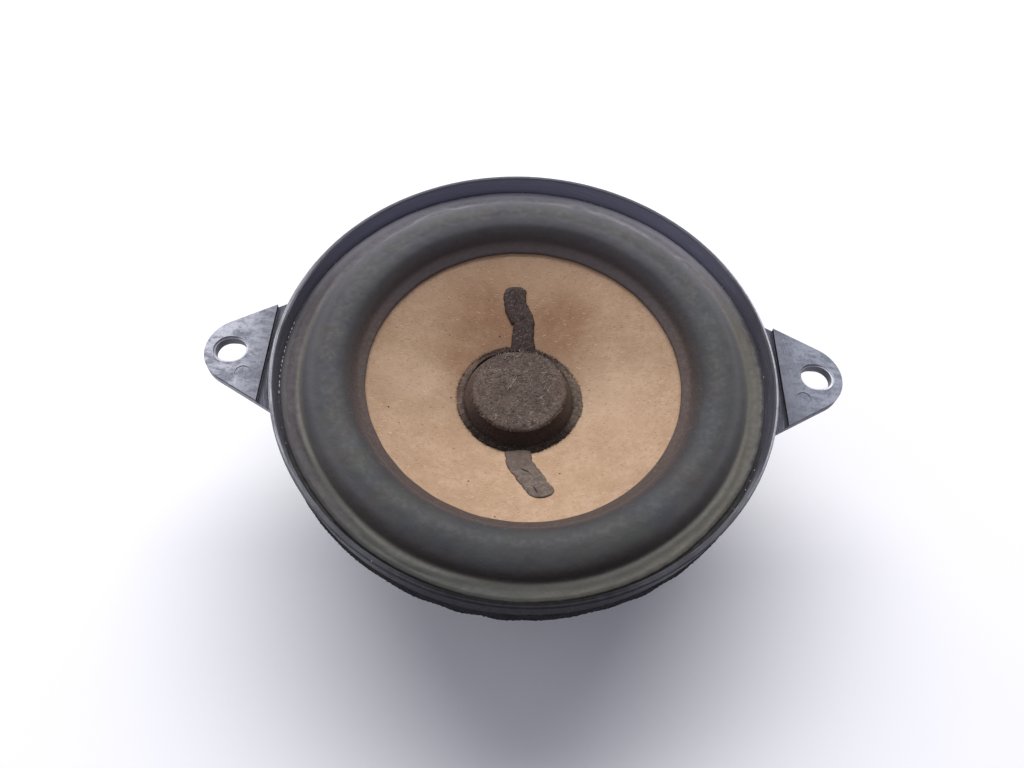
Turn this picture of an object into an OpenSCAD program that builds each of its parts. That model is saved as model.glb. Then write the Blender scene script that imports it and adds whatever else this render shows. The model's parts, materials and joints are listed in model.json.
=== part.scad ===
// Car speaker with a moulded plastic frame, two slotted ears, a paper cone and a half-roll rubber surround.
// The frame stands on the back plate, with +Z out of the cone and the ears along X.

/* [Rim] */
// Outer radius of the rim at the lip
rim_r = 51; // [49:0.5:54]
// Width of the raised lip
lip_w = 1.1; // [0.8:0.1:1.6]
// Thickness of the rim's floor outside the neck
flange_t = 1.1; // [0.8:0.1:1.6]
// How far the collar draws in from the lip to its lower edge
collar_draft = 0.5; // [0.2:0.1:0.8]
// Depth of the surround's seat below the lip
seat_depth = 4.5; // [4.2:0.1:5]
// Width of the surround's seat
seat_w = 4.7; // [3.8:0.1:5.4]
// Height of the foam gasket under the collar
gasket_h = 3.8; // [2:0.2:4.2]

/* [Ears] */
// Distance from the rim out to the centre of an ear's slot
hole_out = 9; // [8.4:0.1:11]
// Width of a slot
slot_w = 5.4; // [4.2:0.1:5.8]
// Length of a slot, end to end
slot_len = 6.2; // [6:0.1:7.2]
// Chamfer round the mouth of a slot
slot_chamfer = 0.4; // [0.2:0.1:0.6]
// Radius of an ear's tip
tip_r = 7.7; // [6.8:0.1:8.6]
// Distance from a slot's centre out to the ear's tip
tip_reach = 5.2; // [4.8:0.1:7]
// Angle between an ear's straight edge and the X axis, in degrees
edge_angle = 30; // [26:1:34]
// Thickness of an ear
ear_t = 2.2; // [1.8:0.1:2.8]
// Drop from the top of the lip to the top of an ear
ear_drop = 2.25; // [1.8:0.05:2.6]
// Gap between the rim and the ear's straight inner edge
chord_gap = 1.6; // [1:0.1:2.4]
// Depth of the recessed web between an ear and the rim
web_drop = 1; // [0.5:0.1:1.4]

/* [Basket] */
// Wall thickness of the frame
wall_t = 1.8; // [1.5:0.1:2.1]
// Extra wall round the neck, between the seat and the gasket
neck_extra = 0.6; // [0.3:0.1:1]
// Height of the steep shoulder below the collar
shoulder_h = 5.4; // [4.8:0.2:6.4]
// Thickness of the frame's floor on the top plate
floor_t = 2; // [1.6:0.1:2.4]
// Wall of the skirt round the top plate
skirt_t = 1.5; // [1.2:0.1:2]
// Depth of the skirt below the top of the plate
skirt_h = 2.4; // [1.6:0.2:3.4]
// Number of windows
window_count = 6; // [4:2:6]
// Width of a window at its foot
window_foot_w = 26; // [20:1:28]
// Width of a window at its head
window_head_w = 33; // [26:1:36]
// Height of the sill under a window, above the floor
sill_h = 1.2; // [0.8:0.1:2]
// Distance from the head of a window up to the shoulder
window_head_gap = 1.2; // [0.6:0.1:2]
// Radius of a window's upper corners
window_corner_r = 3; // [1.5:0.5:4]
// Thickness of the rib behind each spoke
rib_t = 1.8; // [1.2:0.1:2.6]
// How far a rib stands out of its spoke
rib_out = 1.8; // [1:0.1:2]

/* [Motor] */
// How far the magnet's wall lies inside the edge of the top plate
magnet_inset = 5.5; // [5:0.1:8]
// Bore radius of the ferrite magnet
magnet_bore_r = 15; // [13:0.5:17]
// Height of the ferrite magnet
magnet_h = 10; // [8:0.5:14]
// How far the back plate's edge lies inside the magnet's
back_inset = 1.5; // [0:0.1:4]
// Thickness of the back plate
back_t = 5; // [4:0.5:6]
// Radius of the top plate
plate_r = 33; // [30:0.5:34.5]
// Thickness of the top plate
plate_t = 4; // [3:0.5:5]
// Radius of the pole piece
pole_r = 9.5; // [8.5:0.1:10]
// Radius of the pole's staked spigot in the back plate
spigot_r = 6; // [4:0.5:7]
// Running gap between the pole, the coil and the top plate
gap_clear = 0.35; // [0.3:0.05:0.5]
// Radius of the frame rivets' shanks
rivet_r = 1.2; // [1:0.1:1.4]

/* [Coil] */
// Wall thickness of the coil former
former_t = 0.3; // [0.2:0.05:0.4]
// Thickness of the winding
winding_t = 0.5; // [0.3:0.05:0.8]
// Length of the winding
winding_h = 8; // [6:0.5:9]
// Length of bare former below the winding
former_tail = 0.6; // [0.3:0.1:1.5]
// Diameter of the coil leads
coil_lead_d = 0.3; // [0.2:0.05:0.35]

/* [Cone] */
// Radius at which the bare paper meets the surround's inner flange
cone_edge_r = 32.9; // [31.5:0.1:34]
// Drop from the top of the lip to the paper at that edge
cone_edge_drop = 7.1; // [6.9:0.1:7.6]
// Rise of the cone's face for each millimetre of radius
cone_slope = 0.5; // [0.46:0.01:0.53]
// Thickness of the paper
paper_t = 0.8; // [0.5:0.05:1]
// How far the paper reaches under the surround's inner flange
cone_lap = 2.4; // [1.6:0.1:2.8]
// Height of the cone's neck round the former
neck_h = 0.8; // [0.5:0.1:1.2]
// How far the dust cap's foot lies outside the coil former
cap_margin = 2.05; // [1.4:0.05:3]
// How far the dust cap draws in from its foot to its flat top
cap_taper = 1.9; // [1:0.1:3]
// Drop from the top of the lip to the top of the cap
cap_drop = 12.85; // [12:0.05:14]
// Wall thickness of the dust cap
cap_t = 0.6; // [0.4:0.05:0.8]
// Width of the glue ring round the cap's foot
cap_glue_w = 1.8; // [1:0.1:2.4]
// Height of the glue ring against the cap
cap_glue_h = 1.1; // [0.6:0.1:1.5]

/* [Surround] */
// Height of the half-roll above the line through its feet
roll_h = 4.3; // [3.8:0.1:4.6]
// Thickness of the rubber
rubber_t = 0.6; // [0.5:0.05:0.8]

/* [Spider] */
// Height of the spider above the frame's floor
spider_rise = 2.25; // [2:0.05:4]
// Width of the flat between the spider's collar and its first corrugation
spider_flat = 0.75; // [0.5:0.05:1.5]
// How far the spider's edge lies inside the edge of the top plate
spider_inset = 5.4; // [4.8:0.1:8]
// Width of the spider's flat rim on the frame's ledge
spider_rim_w = 3.2; // [2.6:0.2:3.8]
// Number of corrugations
spider_waves = 5; // [4:1:6]
// Height of a corrugation from trough to crest
spider_wave_h = 1.4; // [0.8:0.1:1.6]
// Thickness of the cloth
cloth_t = 0.4; // [0.3:0.05:0.5]
// Height of the spider's collar round the former
spider_collar_h = 0.9; // [0.5:0.1:1.2]

/* [Leads] */
// Length of the glue strip over a coil lead
strip_len = 12; // [8:0.5:14]
// Width of the glue strip over a coil lead
strip_w = 4.8; // [3.5:0.1:5.5]
// Thickness of the glue strip at its middle
strip_t = 0.75; // [0.5:0.05:1]
// Radius of a cone eyelet's barrel
eyelet_r = 0.7; // [0.5:0.05:0.9]
// Diameter of a tinsel lead
tinsel_d = 1.2; // [0.8:0.1:1.5]
// Slack that hangs below the ends of a tinsel lead
tinsel_slack = 3.5; // [2:0.5:5]
// Width of the positive blade
blade_w = 4.8; // [3.8:0.1:6.3]
// Width of the negative blade
narrow_blade_w = 2.8; // [2.4:0.1:3.8]
// Thickness of a blade terminal
blade_t = 0.8; // [0.5:0.1:1]
// Length of the blade beyond its board
blade_len = 6.2; // [6:0.1:8]
// Height of the solder lug above the board
lug_h = 5; // [4:0.5:6]
// Width of a tag board
board_w = 13; // [11:0.5:15]
// Length of a tag board along the lead
board_len = 7; // [6.8:0.2:8]
// Thickness of a tag board
board_t = 1; // [0.8:0.1:1.6]

/* [Hidden] */
$fn = 96;

// Named clearances and small reliefs
fit = 0.05;         // between pieces that are glued, pressed or staked together
soft_gap = 0.3;     // between a soft piece and what it seats on
edge_break = 0.5;   // chamfer on the edges of the steel plates
magnet_break = 0.8; // chamfer on the edges of the magnet
lip_break = 0.25;   // chamfer on the edges of the lip
over = 1;           // how far a cutter runs past the face that it cuts
small_fn = 32;      // facets shown on rivets and small holes

// Radii of the motor and the coil
magnet_r = plate_r - magnet_inset;
back_r = magnet_r - back_inset;
former_in_r = pole_r + gap_clear;
former_r = former_in_r + former_t;
neck_in_r = former_r + fit;
winding_r = former_r + winding_t;
plate_bore_r = winding_r + gap_clear;

// Heights, from the back plate up
magnet_z = back_t;
plate_z = magnet_z + magnet_h;
floor_z = plate_z + plate_t;
floor_top = floor_z + floor_t;
spider_z = floor_top + spider_rise;
ledge_z = spider_z - fit;
neck_z = spider_z + cloth_t + soft_gap;
neck_top = neck_z + neck_h + paper_t;
lip_z = neck_top + (cone_edge_r - neck_in_r) * cone_slope + cone_edge_drop;
seat_z = lip_z - seat_depth;
collar_z = seat_z - flange_t;
shoulder_z = collar_z - shoulder_h;
gasket_z = collar_z - gasket_h;
ear_z = lip_z - ear_drop - ear_t;

// Radii of the frame and the spider
neck_draft = 1;     // how far the neck draws in from the collar to the shoulder
ledge_lip = 0.3;    // how far the ledge runs out past the spider
ledge_flare = 0.5;  // how far the ledge spreads at its foot
floor_lap = 2.4;    // how far the floor runs in past the ledge
lip_in_r = rim_r - lip_w;
seat_in_r = lip_in_r - seat_w;
collar_r = rim_r - collar_draft;
neck_r = seat_in_r + wall_t + neck_extra;
shoulder_r = neck_r - neck_draft;
base_r = plate_r + fit + skirt_t;
spider_collar_r = former_r + soft_gap;
spider_in_r = spider_collar_r + cloth_t + spider_flat;
spider_r = plate_r - spider_inset;
ledge_r = spider_r + ledge_lip;
ledge_in_r = spider_r - spider_rim_w;
floor_in_r = ledge_in_r - floor_lap;
rivet_circle_r = (ledge_r + plate_r) / 2;
rivet_angles = [30, 150, 210, 330];
bowl_steps = 8;     // straight steps along the bowl's curve

// Ears
hole_x = rim_r + hole_out;
tip_x = hole_x + tip_reach;
tip_cx = tip_x - tip_r;
chord_x = rim_r + chord_gap;
mark_r = 1.5;       // ejector mark on each ear
mark_depth = 0.15;
mark_y = -5.4;
mark_x = chord_x + 3.9;

// Cone, coil and dust cap
function face_z(r) = neck_top + (r - neck_in_r) * cone_slope;
cone_r = cone_edge_r + cone_lap;
winding_z = plate_z + (plate_t - winding_h) / 2;
winding_top = winding_z + winding_h;
former_top = neck_top + 0.4;
cap_foot_r = former_r + cap_margin;
cap_top_r = cap_foot_r - cap_taper;
cap_z = lip_z - cap_drop;
cap_lift = coil_lead_d + 2 * fit;   // glue line between the cap's foot and the cone
cap_edge = 0.5;                     // rounding of the cap's upper edge
ring_r = cap_foot_r + fit + cap_glue_w;
eyelet_head_r = 1.6 * eyelet_r;
eyelet_flange_t = 0.25;
lead_hole_r = 0.5;                  // hole in the former that a coil lead passes through
lead_hole_z = winding_top + lead_hole_r + fit;

// Surround
flange_z = seat_z + fit;
foot_out_r = seat_in_r - 0.1;
foot_in_r = cone_r - 0.1;
foot_in_z = face_z(foot_in_r) + soft_gap;

// Terminals: the boards lie on pads of the frame at the far and near sides
pad_drop = 0.4;     // how far a pad hangs below the floor
pad_w = board_w + 1;
board_y = base_r - 1.6;
pad_y = board_y + board_len + pad_drop;
blade_y = board_y + board_len + blade_len;
terminal_z = floor_top + board_t;
lug_w = 3.2;
lug_y = board_y + 1;
lug_top = terminal_z + blade_t + lug_h;
term_rivet_x = board_w / 2 - 2.3;
term_rivet_r = 0.9;
tab_w = 2 * (term_rivet_x + 2 * term_rivet_r);
tab_len = 4 * term_rivet_r;
tab_y = board_y + 2.6;
term_rivet_y = tab_y + tab_len / 2;
solder_r = 1.1;
solder_h = 0.8;
solder_z = lug_top - 1.7;

// Routes of the two glue strips out from the glue ring, in shares of a strip's length: each bends to a side
function from_ring(side, p) = [strip_len * p[0], side * (ring_r + strip_len * p[1])];
strip_far = [for (p = [[-0.02, 0.04], [-0.02, 0.25], [-0.07, 0.45], [-0.16, 0.62], [-0.2, 0.8], [-0.24, 1]])
    from_ring(1, p)];
strip_near = [for (p = [[-0.02, 0.04], [0.03, 0.25], [0.12, 0.45], [0.22, 0.65], [0.31, 0.84], [0.36, 1]])
    from_ring(-1, p)];
eyelet_far = from_ring(1, [-0.2, 0.81]);
eyelet_near = from_ring(-1, [0.3, 0.82]);

// Points of an arc round c, from angle a to angle b
function arc(c, r, a, b, n) = [for (i = [0:n]) c + r * [cos(a + (b - a) * i / n), sin(a + (b - a) * i / n)]];
function unit(v) = v / norm(v);
function bezier(p, t) = pow(1 - t, 3) * p[0] + 3 * t * pow(1 - t, 2) * p[1]
    + 3 * t * t * (1 - t) * p[2] + pow(t, 3) * p[3];
function tangent(path, i) = unit(path[min(i + 1, len(path) - 1)] - path[max(i - 1, 0)]);
function lerp_path(path, s) =
    let (i = min(floor(s), len(path) - 2)) path[i] + (s - i) * (path[i + 1] - path[i]);

// One closed tube along a path that lies mostly across the X axis
module tube(path, r, sides = 8) {
    n = len(path);
    rings = [for (i = [0:n - 1])
        let (t = tangent(path, i), u = unit(cross(t, [1, 0, 0])), v = cross(u, t))
        [for (j = [0:sides - 1])
            let (a = 360 * j / sides) path[i] + r * (cos(a) * v + sin(a) * u)]];
    points = [for (ring = rings) for (p = ring) p];
    walls = [for (i = [0:n - 2]) for (j = [0:sides - 1])
        let (k = (j + 1) % sides, a = i * sides, b = (i + 1) * sides)
        each [[a + j, a + k, b + k], [a + j, b + k, b + j]]];
    start_cap = [for (j = [1:sides - 2]) [0, j + 1, j]];
    end = (n - 1) * sides;
    end_cap = [for (j = [1:sides - 2]) [end, end + j, end + j + 1]];
    polyhedron(points, concat(walls, start_cap, end_cap), convexity = 6);
}

// Ring with a chamfer on both edges of its outer wall
module plate_ring(r, bore, z, h, cut) {
    translate([0, 0, z]) rotate_extrude()
        polygon([
            [bore, 0], [r - cut, 0], [r, cut],
            [r, h - cut], [r - cut, h], [bore, h]
        ]);
}

// Curve of the bowl: a quarter ellipse from the foot at base_r up to radius r at the shoulder
function bowl_curve(inset, r, foot_z, from, to) = [for (i = [0:bowl_steps])
    let (a = from + (to - from) * i / bowl_steps)
    [base_r - inset + (r - base_r + inset) * sin(a), shoulder_z - (shoulder_z - foot_z) * cos(a)]];

// Frame: collar, seat, neck, rounded bowl and floor, as one turned profile
module bowl_profile() {
    inner = [
        [lip_in_r + lip_break, lip_z], [lip_in_r, lip_z - lip_break], [lip_in_r, seat_z],
        [seat_in_r, seat_z], [seat_in_r, seat_z - wall_t]
    ];
    inner_bowl = bowl_curve(0, shoulder_r - wall_t, floor_top, 90, 0);
    base = [
        [ledge_r + ledge_flare, floor_top], [ledge_r, ledge_z], [ledge_in_r, ledge_z],
        [ledge_in_r - ledge_flare, floor_top], [floor_in_r, floor_top], [floor_in_r, floor_z],
        [plate_r + fit, floor_z], [plate_r + fit, floor_z - skirt_h], [base_r, floor_z - skirt_h]
    ];
    outer_bowl = bowl_curve(0, shoulder_r, floor_z, 0, 90);
    outer = [
        [neck_r, collar_z], [collar_r, collar_z], [rim_r, lip_z - lip_break],
        [rim_r - lip_break, lip_z]
    ];
    polygon(concat(inner, inner_bowl, base, outer_bowl, outer));
}

// Outline of a window seen from the side, with rounded upper corners
module window_outline(h) {
    c = window_corner_r;
    lean = atan2((window_head_w - window_foot_w) / 2, h);
    foot = window_foot_w / 2;
    // centre of the right corner arc, tangent to the leaning side and to the head
    cy = h - c;
    cx = foot + cy * tan(lean) - c / cos(lean);
    right = arc([cx, cy], c, -lean, 90, 6);
    left = [for (i = [6:-1:0]) [-right[i][0], right[i][1]]];
    polygon(concat([[-foot, 0], [foot, 0]], right, left));
}

// Cutters for the windows, and for the notches in two sills where the terminals lead out
module windows() {
    start = ledge_r + ledge_flare + over;
    h = shoulder_z - window_head_gap - floor_top - sill_h;
    for (i = [0:window_count - 1])
        rotate([0, 0, 90 + 360 * i / window_count])
            translate([start, 0, floor_top + sill_h])
                rotate([90, 0, 90]) linear_extrude(neck_r) window_outline(h);
    for (a = [90, 270]) rotate([0, 0, a])
        translate([start, -pad_w / 2, floor_top]) cube([neck_r, pad_w, sill_h + over]);
}

// A rib down the middle of each spoke: the bowl's curve set outwards, less the same curve set inwards
module spoke_ribs() {
    sunk = wall_t / 3;
    rib = concat(
        [[base_r - sunk, floor_z - skirt_h], [base_r, floor_z - skirt_h]],
        bowl_curve(0, shoulder_r + rib_out, floor_z - rib_out, 0, 90),
        [[shoulder_r, shoulder_z + rib_out]],
        bowl_curve(sunk, shoulder_r - sunk, floor_z + sunk, 90, 0)
    );
    for (i = [0:window_count - 1])
        rotate([0, 0, 90 + 360 * (i + 0.5) / window_count])
            translate([0, rib_t / 2, 0]) rotate([90, 0, 0]) linear_extrude(rib_t) polygon(rib);
}

// Plan of an ear with straight edges tangent to the tip, from x = inner to the tip
module ear_outline(inner) {
    tip = arc([tip_cx, 0], tip_r, edge_angle - 90, 90 - edge_angle, 16);
    edge_at = tip_r * cos(edge_angle) + (tip_cx + tip_r * sin(edge_angle) - inner) * tan(edge_angle);
    polygon(concat([[inner, edge_at], [inner, -edge_at]], tip));
}

module slot(w, l, h) {
    for (s = [-1, 1]) translate([s * (l - w) / 2, 0, 0]) cylinder(d = w, h = h);
    translate([-(l - w) / 2, -w / 2, 0]) cube([l - w, w, h]);
}

module ear() {
    web_top = ear_t - web_drop;
    web_reach = 17;     // angle round the rim at which the web runs out
    difference() {
        translate([0, 0, ear_z]) difference() {
            union() {
                intersection() {
                    linear_extrude(ear_t) ear_outline(lip_in_r);
                    translate([chord_x, -rim_r, 0]) cube([rim_r, 2 * rim_r, ear_t]);
                }
                linear_extrude(web_top) intersection() {
                    ear_outline(lip_in_r * cos(web_reach));
                    translate([0, -rim_r]) square([chord_x + fit, 2 * rim_r]);
                }
            }
            translate([hole_x, 0, -over]) slot(slot_w, slot_len, ear_t + 2 * over);
            translate([hole_x, 0, ear_t - slot_chamfer])
                slot(slot_w + 2 * slot_chamfer, slot_len + 2 * slot_chamfer, over);
            translate([mark_x, mark_y, ear_t - mark_depth]) cylinder(r = mark_r, h = over);
        }
        translate([0, 0, seat_z]) cylinder(r = lip_in_r, h = seat_depth + over);
    }
}

module basket() {
    color([0.17, 0.17, 0.19]) {
        difference() {
            union() {
                rotate_extrude() bowl_profile();
                spoke_ribs();
                // pads that carry the tag boards
                for (s = [1, -1]) at_side(s)
                    translate([-pad_w / 2, base_r - over, floor_z - pad_drop])
                        cube([pad_w, pad_y - base_r + over, floor_t + pad_drop]);
            }
            windows();
            for (a = rivet_angles) rotate([0, 0, a])
                translate([rivet_circle_r, 0, floor_z - over])
                    cylinder(r = rivet_r + fit, h = floor_t + 2 * over, $fn = small_fn);
            for (s = [-1, 1], t = [-1, 1])
                translate([s * term_rivet_x, t * term_rivet_y, floor_z - pad_drop - over])
                    cylinder(r = term_rivet_r + fit, h = floor_t + pad_drop + 2 * over, $fn = small_fn);
        }
        ear();
        mirror([1, 0, 0]) ear();
    }
}

module rear_gasket() {
    color([0.08, 0.08, 0.09])
        translate([0, 0, gasket_z]) rotate_extrude()
            polygon([
                [neck_r + fit, 0], [collar_r - 0.3, 0], [collar_r + 0.2, gasket_h / 2],
                [collar_r, gasket_h - fit], [neck_r + fit, gasket_h - fit]
            ]);
}

// Rivet with a rolled head above and a flared tail below
module rivet(r, grip) {
    head_r = 1.5 * r;
    head_h = 0.7 * r;
    cylinder(r = r, h = grip, $fn = small_fn);
    rotate_extrude($fn = small_fn)
        polygon([
            [0, grip], [head_r, grip], [head_r, grip + 0.4 * head_h],
            [0.7 * head_r, grip + head_h], [0, grip + head_h]
        ]);
    rotate_extrude($fn = small_fn)
        polygon([[0, 0], [0, -0.6 * head_h], [0.8 * head_r, -0.6 * head_h], [head_r, 0]]);
}

module frame_rivets() {
    color([0.72, 0.72, 0.7])
        for (a = rivet_angles) rotate([0, 0, a])
            translate([rivet_circle_r, 0, plate_z]) rivet(rivet_r, plate_t + floor_t);
}

module top_plate() {
    color([0.66, 0.66, 0.62])
        difference() {
            plate_ring(plate_r, plate_bore_r, plate_z, plate_t, edge_break);
            for (a = rivet_angles) rotate([0, 0, a])
                translate([rivet_circle_r, 0, plate_z - over])
                    cylinder(r = rivet_r + fit, h = plate_t + 2 * over, $fn = small_fn);
        }
}

module ferrite_magnet() {
    color([0.2, 0.2, 0.21]) plate_ring(magnet_r, magnet_bore_r, magnet_z, magnet_h, magnet_break);
}

module back_plate() {
    color([0.66, 0.66, 0.62]) plate_ring(back_r, spigot_r + fit, 0, back_t, edge_break);
}

module pole_piece() {
    dimple_r = 1.2;
    color([0.6, 0.6, 0.58])
        rotate_extrude()
            polygon([
                [0, dimple_r / 2], [dimple_r, 0], [spigot_r, 0], [spigot_r, back_t], [pole_r, back_t],
                [pole_r, floor_z - edge_break], [pole_r - edge_break, floor_z], [0, floor_z]
            ]);
}

// Surround: flange on the seat, half-roll, inner flange along the cone
module surround() {
    wall_gap = 0.2;     // between the flange and the inside of the lip
    foot_turn = 8;      // angle of the roll that its upper skin leaves to each flange
    chord = [foot_out_r - foot_in_r, flange_z - foot_in_z];
    width = norm(chord);
    tilt = atan2(chord[1], chord[0]);
    roll_r = (width * width / 4 + roll_h * roll_h) / (2 * roll_h);
    middle = [foot_in_r, foot_in_z] + chord / 2;
    centre = middle + (roll_h - roll_r) * [-sin(tilt), cos(tilt)];
    half = acos((roll_r - roll_h) / roll_r);
    start = 90 + tilt - half;
    under = arc(centre, roll_r, start, start + 2 * half, 20);
    above = arc(centre, roll_r + rubber_t, start + 2 * half - foot_turn, start + foot_turn, 20);
    inner_z = face_z(cone_edge_r) + soft_gap;
    color([0.24, 0.25, 0.27])
        rotate_extrude()
            polygon(concat(
                [[lip_in_r - wall_gap, flange_z]], under,
                [[cone_edge_r, inner_z], [cone_edge_r, inner_z + rubber_t]], above,
                [[foot_out_r + rubber_t, flange_z + rubber_t], [lip_in_r - wall_gap, flange_z + rubber_t]]
            ));
}

// Spider: flat rim on the ledge, corrugations and a short collar round the former
module spider() {
    steps = 8 * spider_waves;
    span = ledge_in_r - spider_in_r;
    lower = [for (i = [0:steps])
        [spider_in_r + span * i / steps,
         spider_z - spider_wave_h * (1 - cos(360 * spider_waves * i / steps)) / 2]];
    upper = [for (i = [steps:-1:0]) lower[i] + [0, cloth_t]];
    collar_foot = spider_z - spider_collar_h;
    color([0.78, 0.66, 0.4])
        rotate_extrude()
            polygon(concat(
                [[spider_collar_r, collar_foot], [spider_collar_r + cloth_t, collar_foot],
                 [spider_collar_r + cloth_t, spider_z]],
                lower, [[spider_r, spider_z], [spider_r, spider_z + cloth_t]], upper,
                [[spider_collar_r, spider_z + cloth_t]]
            ));
}

// Places a piece at the far side (+Y) or, turned half round, at the near side
module at_side(side) {
    rotate([0, 0, side > 0 ? 0 : 180]) children();
}

module tag_board() {
    color([0.36, 0.25, 0.16])
        difference() {
            translate([-board_w / 2, board_y, floor_top]) cube([board_w, board_len, board_t]);
            for (s = [-1, 1])
                translate([s * term_rivet_x, term_rivet_y, floor_top - over])
                    cylinder(r = term_rivet_r + fit, h = board_t + 2 * over, $fn = small_fn);
        }
}

// Stamped terminal: two riveted tabs, a blade outwards and a lug that stands up inwards
module terminal(w) {
    lead_in = 0.8;  // chamfer at the end of the blade
    hole_r = 0.7;   // latch hole in the blade, and hole in the lug for the lead
    latch_in = 3;   // distance from the end of the blade in to the latch hole
    color([0.78, 0.72, 0.5])
        difference() {
            union() {
                translate([-tab_w / 2, tab_y, terminal_z]) cube([tab_w, tab_len, blade_t]);
                translate([0, 0, terminal_z]) linear_extrude(blade_t)
                    polygon([
                        [-w / 2, term_rivet_y], [w / 2, term_rivet_y],
                        [w / 2, blade_y - lead_in], [w / 2 - lead_in, blade_y],
                        [lead_in - w / 2, blade_y], [-w / 2, blade_y - lead_in]
                    ]);
                translate([-lug_w / 2, lug_y, terminal_z]) cube([lug_w, tab_y - lug_y + fit, blade_t]);
                translate([-lug_w / 2, lug_y, terminal_z]) cube([lug_w, blade_t, blade_t + lug_h]);
            }
            for (s = [-1, 1])
                translate([s * term_rivet_x, term_rivet_y, terminal_z - over])
                    cylinder(r = term_rivet_r + fit, h = blade_t + 2 * over, $fn = small_fn);
            translate([0, blade_y - latch_in, terminal_z - over])
                cylinder(r = hole_r, h = blade_t + 2 * over, $fn = small_fn);
            translate([0, lug_y - over, solder_z]) rotate([-90, 0, 0])
                cylinder(r = hole_r, h = blade_t + 2 * over, $fn = small_fn);
        }
}

module terminal_rivets() {
    grip = floor_t + pad_drop + board_t + blade_t;
    color([0.75, 0.74, 0.7])
        for (s = [-1, 1], t = [-1, 1])
            translate([t * term_rivet_x, s * term_rivet_y, floor_z - pad_drop]) rivet(term_rivet_r, grip);
}

module solder_joints() {
    color([0.75, 0.75, 0.76])
        for (s = [1, -1]) at_side(s)
            translate([0, lug_y - fit, solder_z]) rotate([90, 0, 0])
                rotate_extrude($fn = small_fn)
                    polygon([
                        [0, 0], [solder_r, 0], [0.85 * solder_r, 0.6 * solder_h],
                        [0.5 * solder_r, solder_h], [0, solder_h]
                    ]);
}

// Tinsel lead: square off the back of the cone, down in a slack loop and out to the lug
module tinsel_lead(eyelet) {
    back = paper_t + eyelet_flange_t + soft_gap;
    normal = unit([-cone_slope * eyelet[0] / norm(eyelet), -cone_slope * eyelet[1] / norm(eyelet), 1]);
    top = [eyelet[0], eyelet[1], face_z(norm(eyelet))] - back * normal;
    end = [0, lug_y - solder_h - 2 * fit, solder_z];
    bent = end - [0, tinsel_d / 2, 0];
    ctrl = [top, top - 2 * tinsel_slack * normal, bent - [0, tinsel_slack, tinsel_slack], bent];
    color([0.72, 0.5, 0.34])
        tube(concat([for (i = [0:22]) bezier(ctrl, i / 22)], [end]), tinsel_d / 2);
}

// Stands a piece on the cone's face at a point, square to the face
module on_face(p) {
    translate([p[0], p[1], face_z(norm(p))]) rotate([0, 0, atan2(p[1], p[0])])
        rotate([0, -atan(cone_slope), 0]) children();
}

module cone() {
    color([0.76, 0.63, 0.48])
        difference() {
            rotate_extrude()
                polygon([
                    [neck_in_r, face_z(neck_in_r)], [cone_r, face_z(cone_r)],
                    [cone_r, face_z(cone_r) - paper_t],
                    [neck_in_r + paper_t, face_z(neck_in_r + paper_t) - paper_t],
                    [neck_in_r + paper_t, neck_z], [neck_in_r, neck_z]
                ]);
            for (e = [eyelet_far, eyelet_near])
                on_face(e) translate([0, 0, -paper_t - over])
                    cylinder(r = eyelet_r + fit, h = paper_t + 2 * over, $fn = small_fn);
        }
}

module dust_cap() {
    foot = face_z(cap_foot_r) + cap_lift;
    bevel = 0.3 * cap_edge;
    color([0.3, 0.26, 0.24])
        rotate_extrude()
            polygon([
                [0, cap_z], [cap_top_r - cap_edge, cap_z], [cap_top_r - bevel, cap_z - bevel],
                [cap_top_r, cap_z - cap_edge], [cap_foot_r, foot],
                [cap_foot_r - cap_t, foot - cap_t * cone_slope],
                [cap_top_r - cap_t, cap_z - cap_t], [0, cap_z - cap_t]
            ]);
}

// Glue round the cap's foot: a fillet outside and a thin line under the foot
module cap_glue_ring() {
    in_r = cap_foot_r + fit;
    out_r = ring_r;
    under_r = cap_foot_r - cap_t;
    lean = cap_glue_h * (cap_foot_r - cap_top_r) / (cap_z - face_z(cap_foot_r));
    color([0.2, 0.16, 0.15])
        rotate_extrude()
            polygon([
                [under_r, face_z(under_r) + fit], [out_r, face_z(out_r) + fit],
                [out_r - cap_glue_w / 3, face_z(out_r) + cap_glue_h / 3],
                [in_r - lean, face_z(in_r) + cap_lift + cap_glue_h], [in_r, face_z(in_r) + cap_lift],
                [under_r, face_z(under_r) + cap_lift - fit]
            ]);
}

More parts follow.
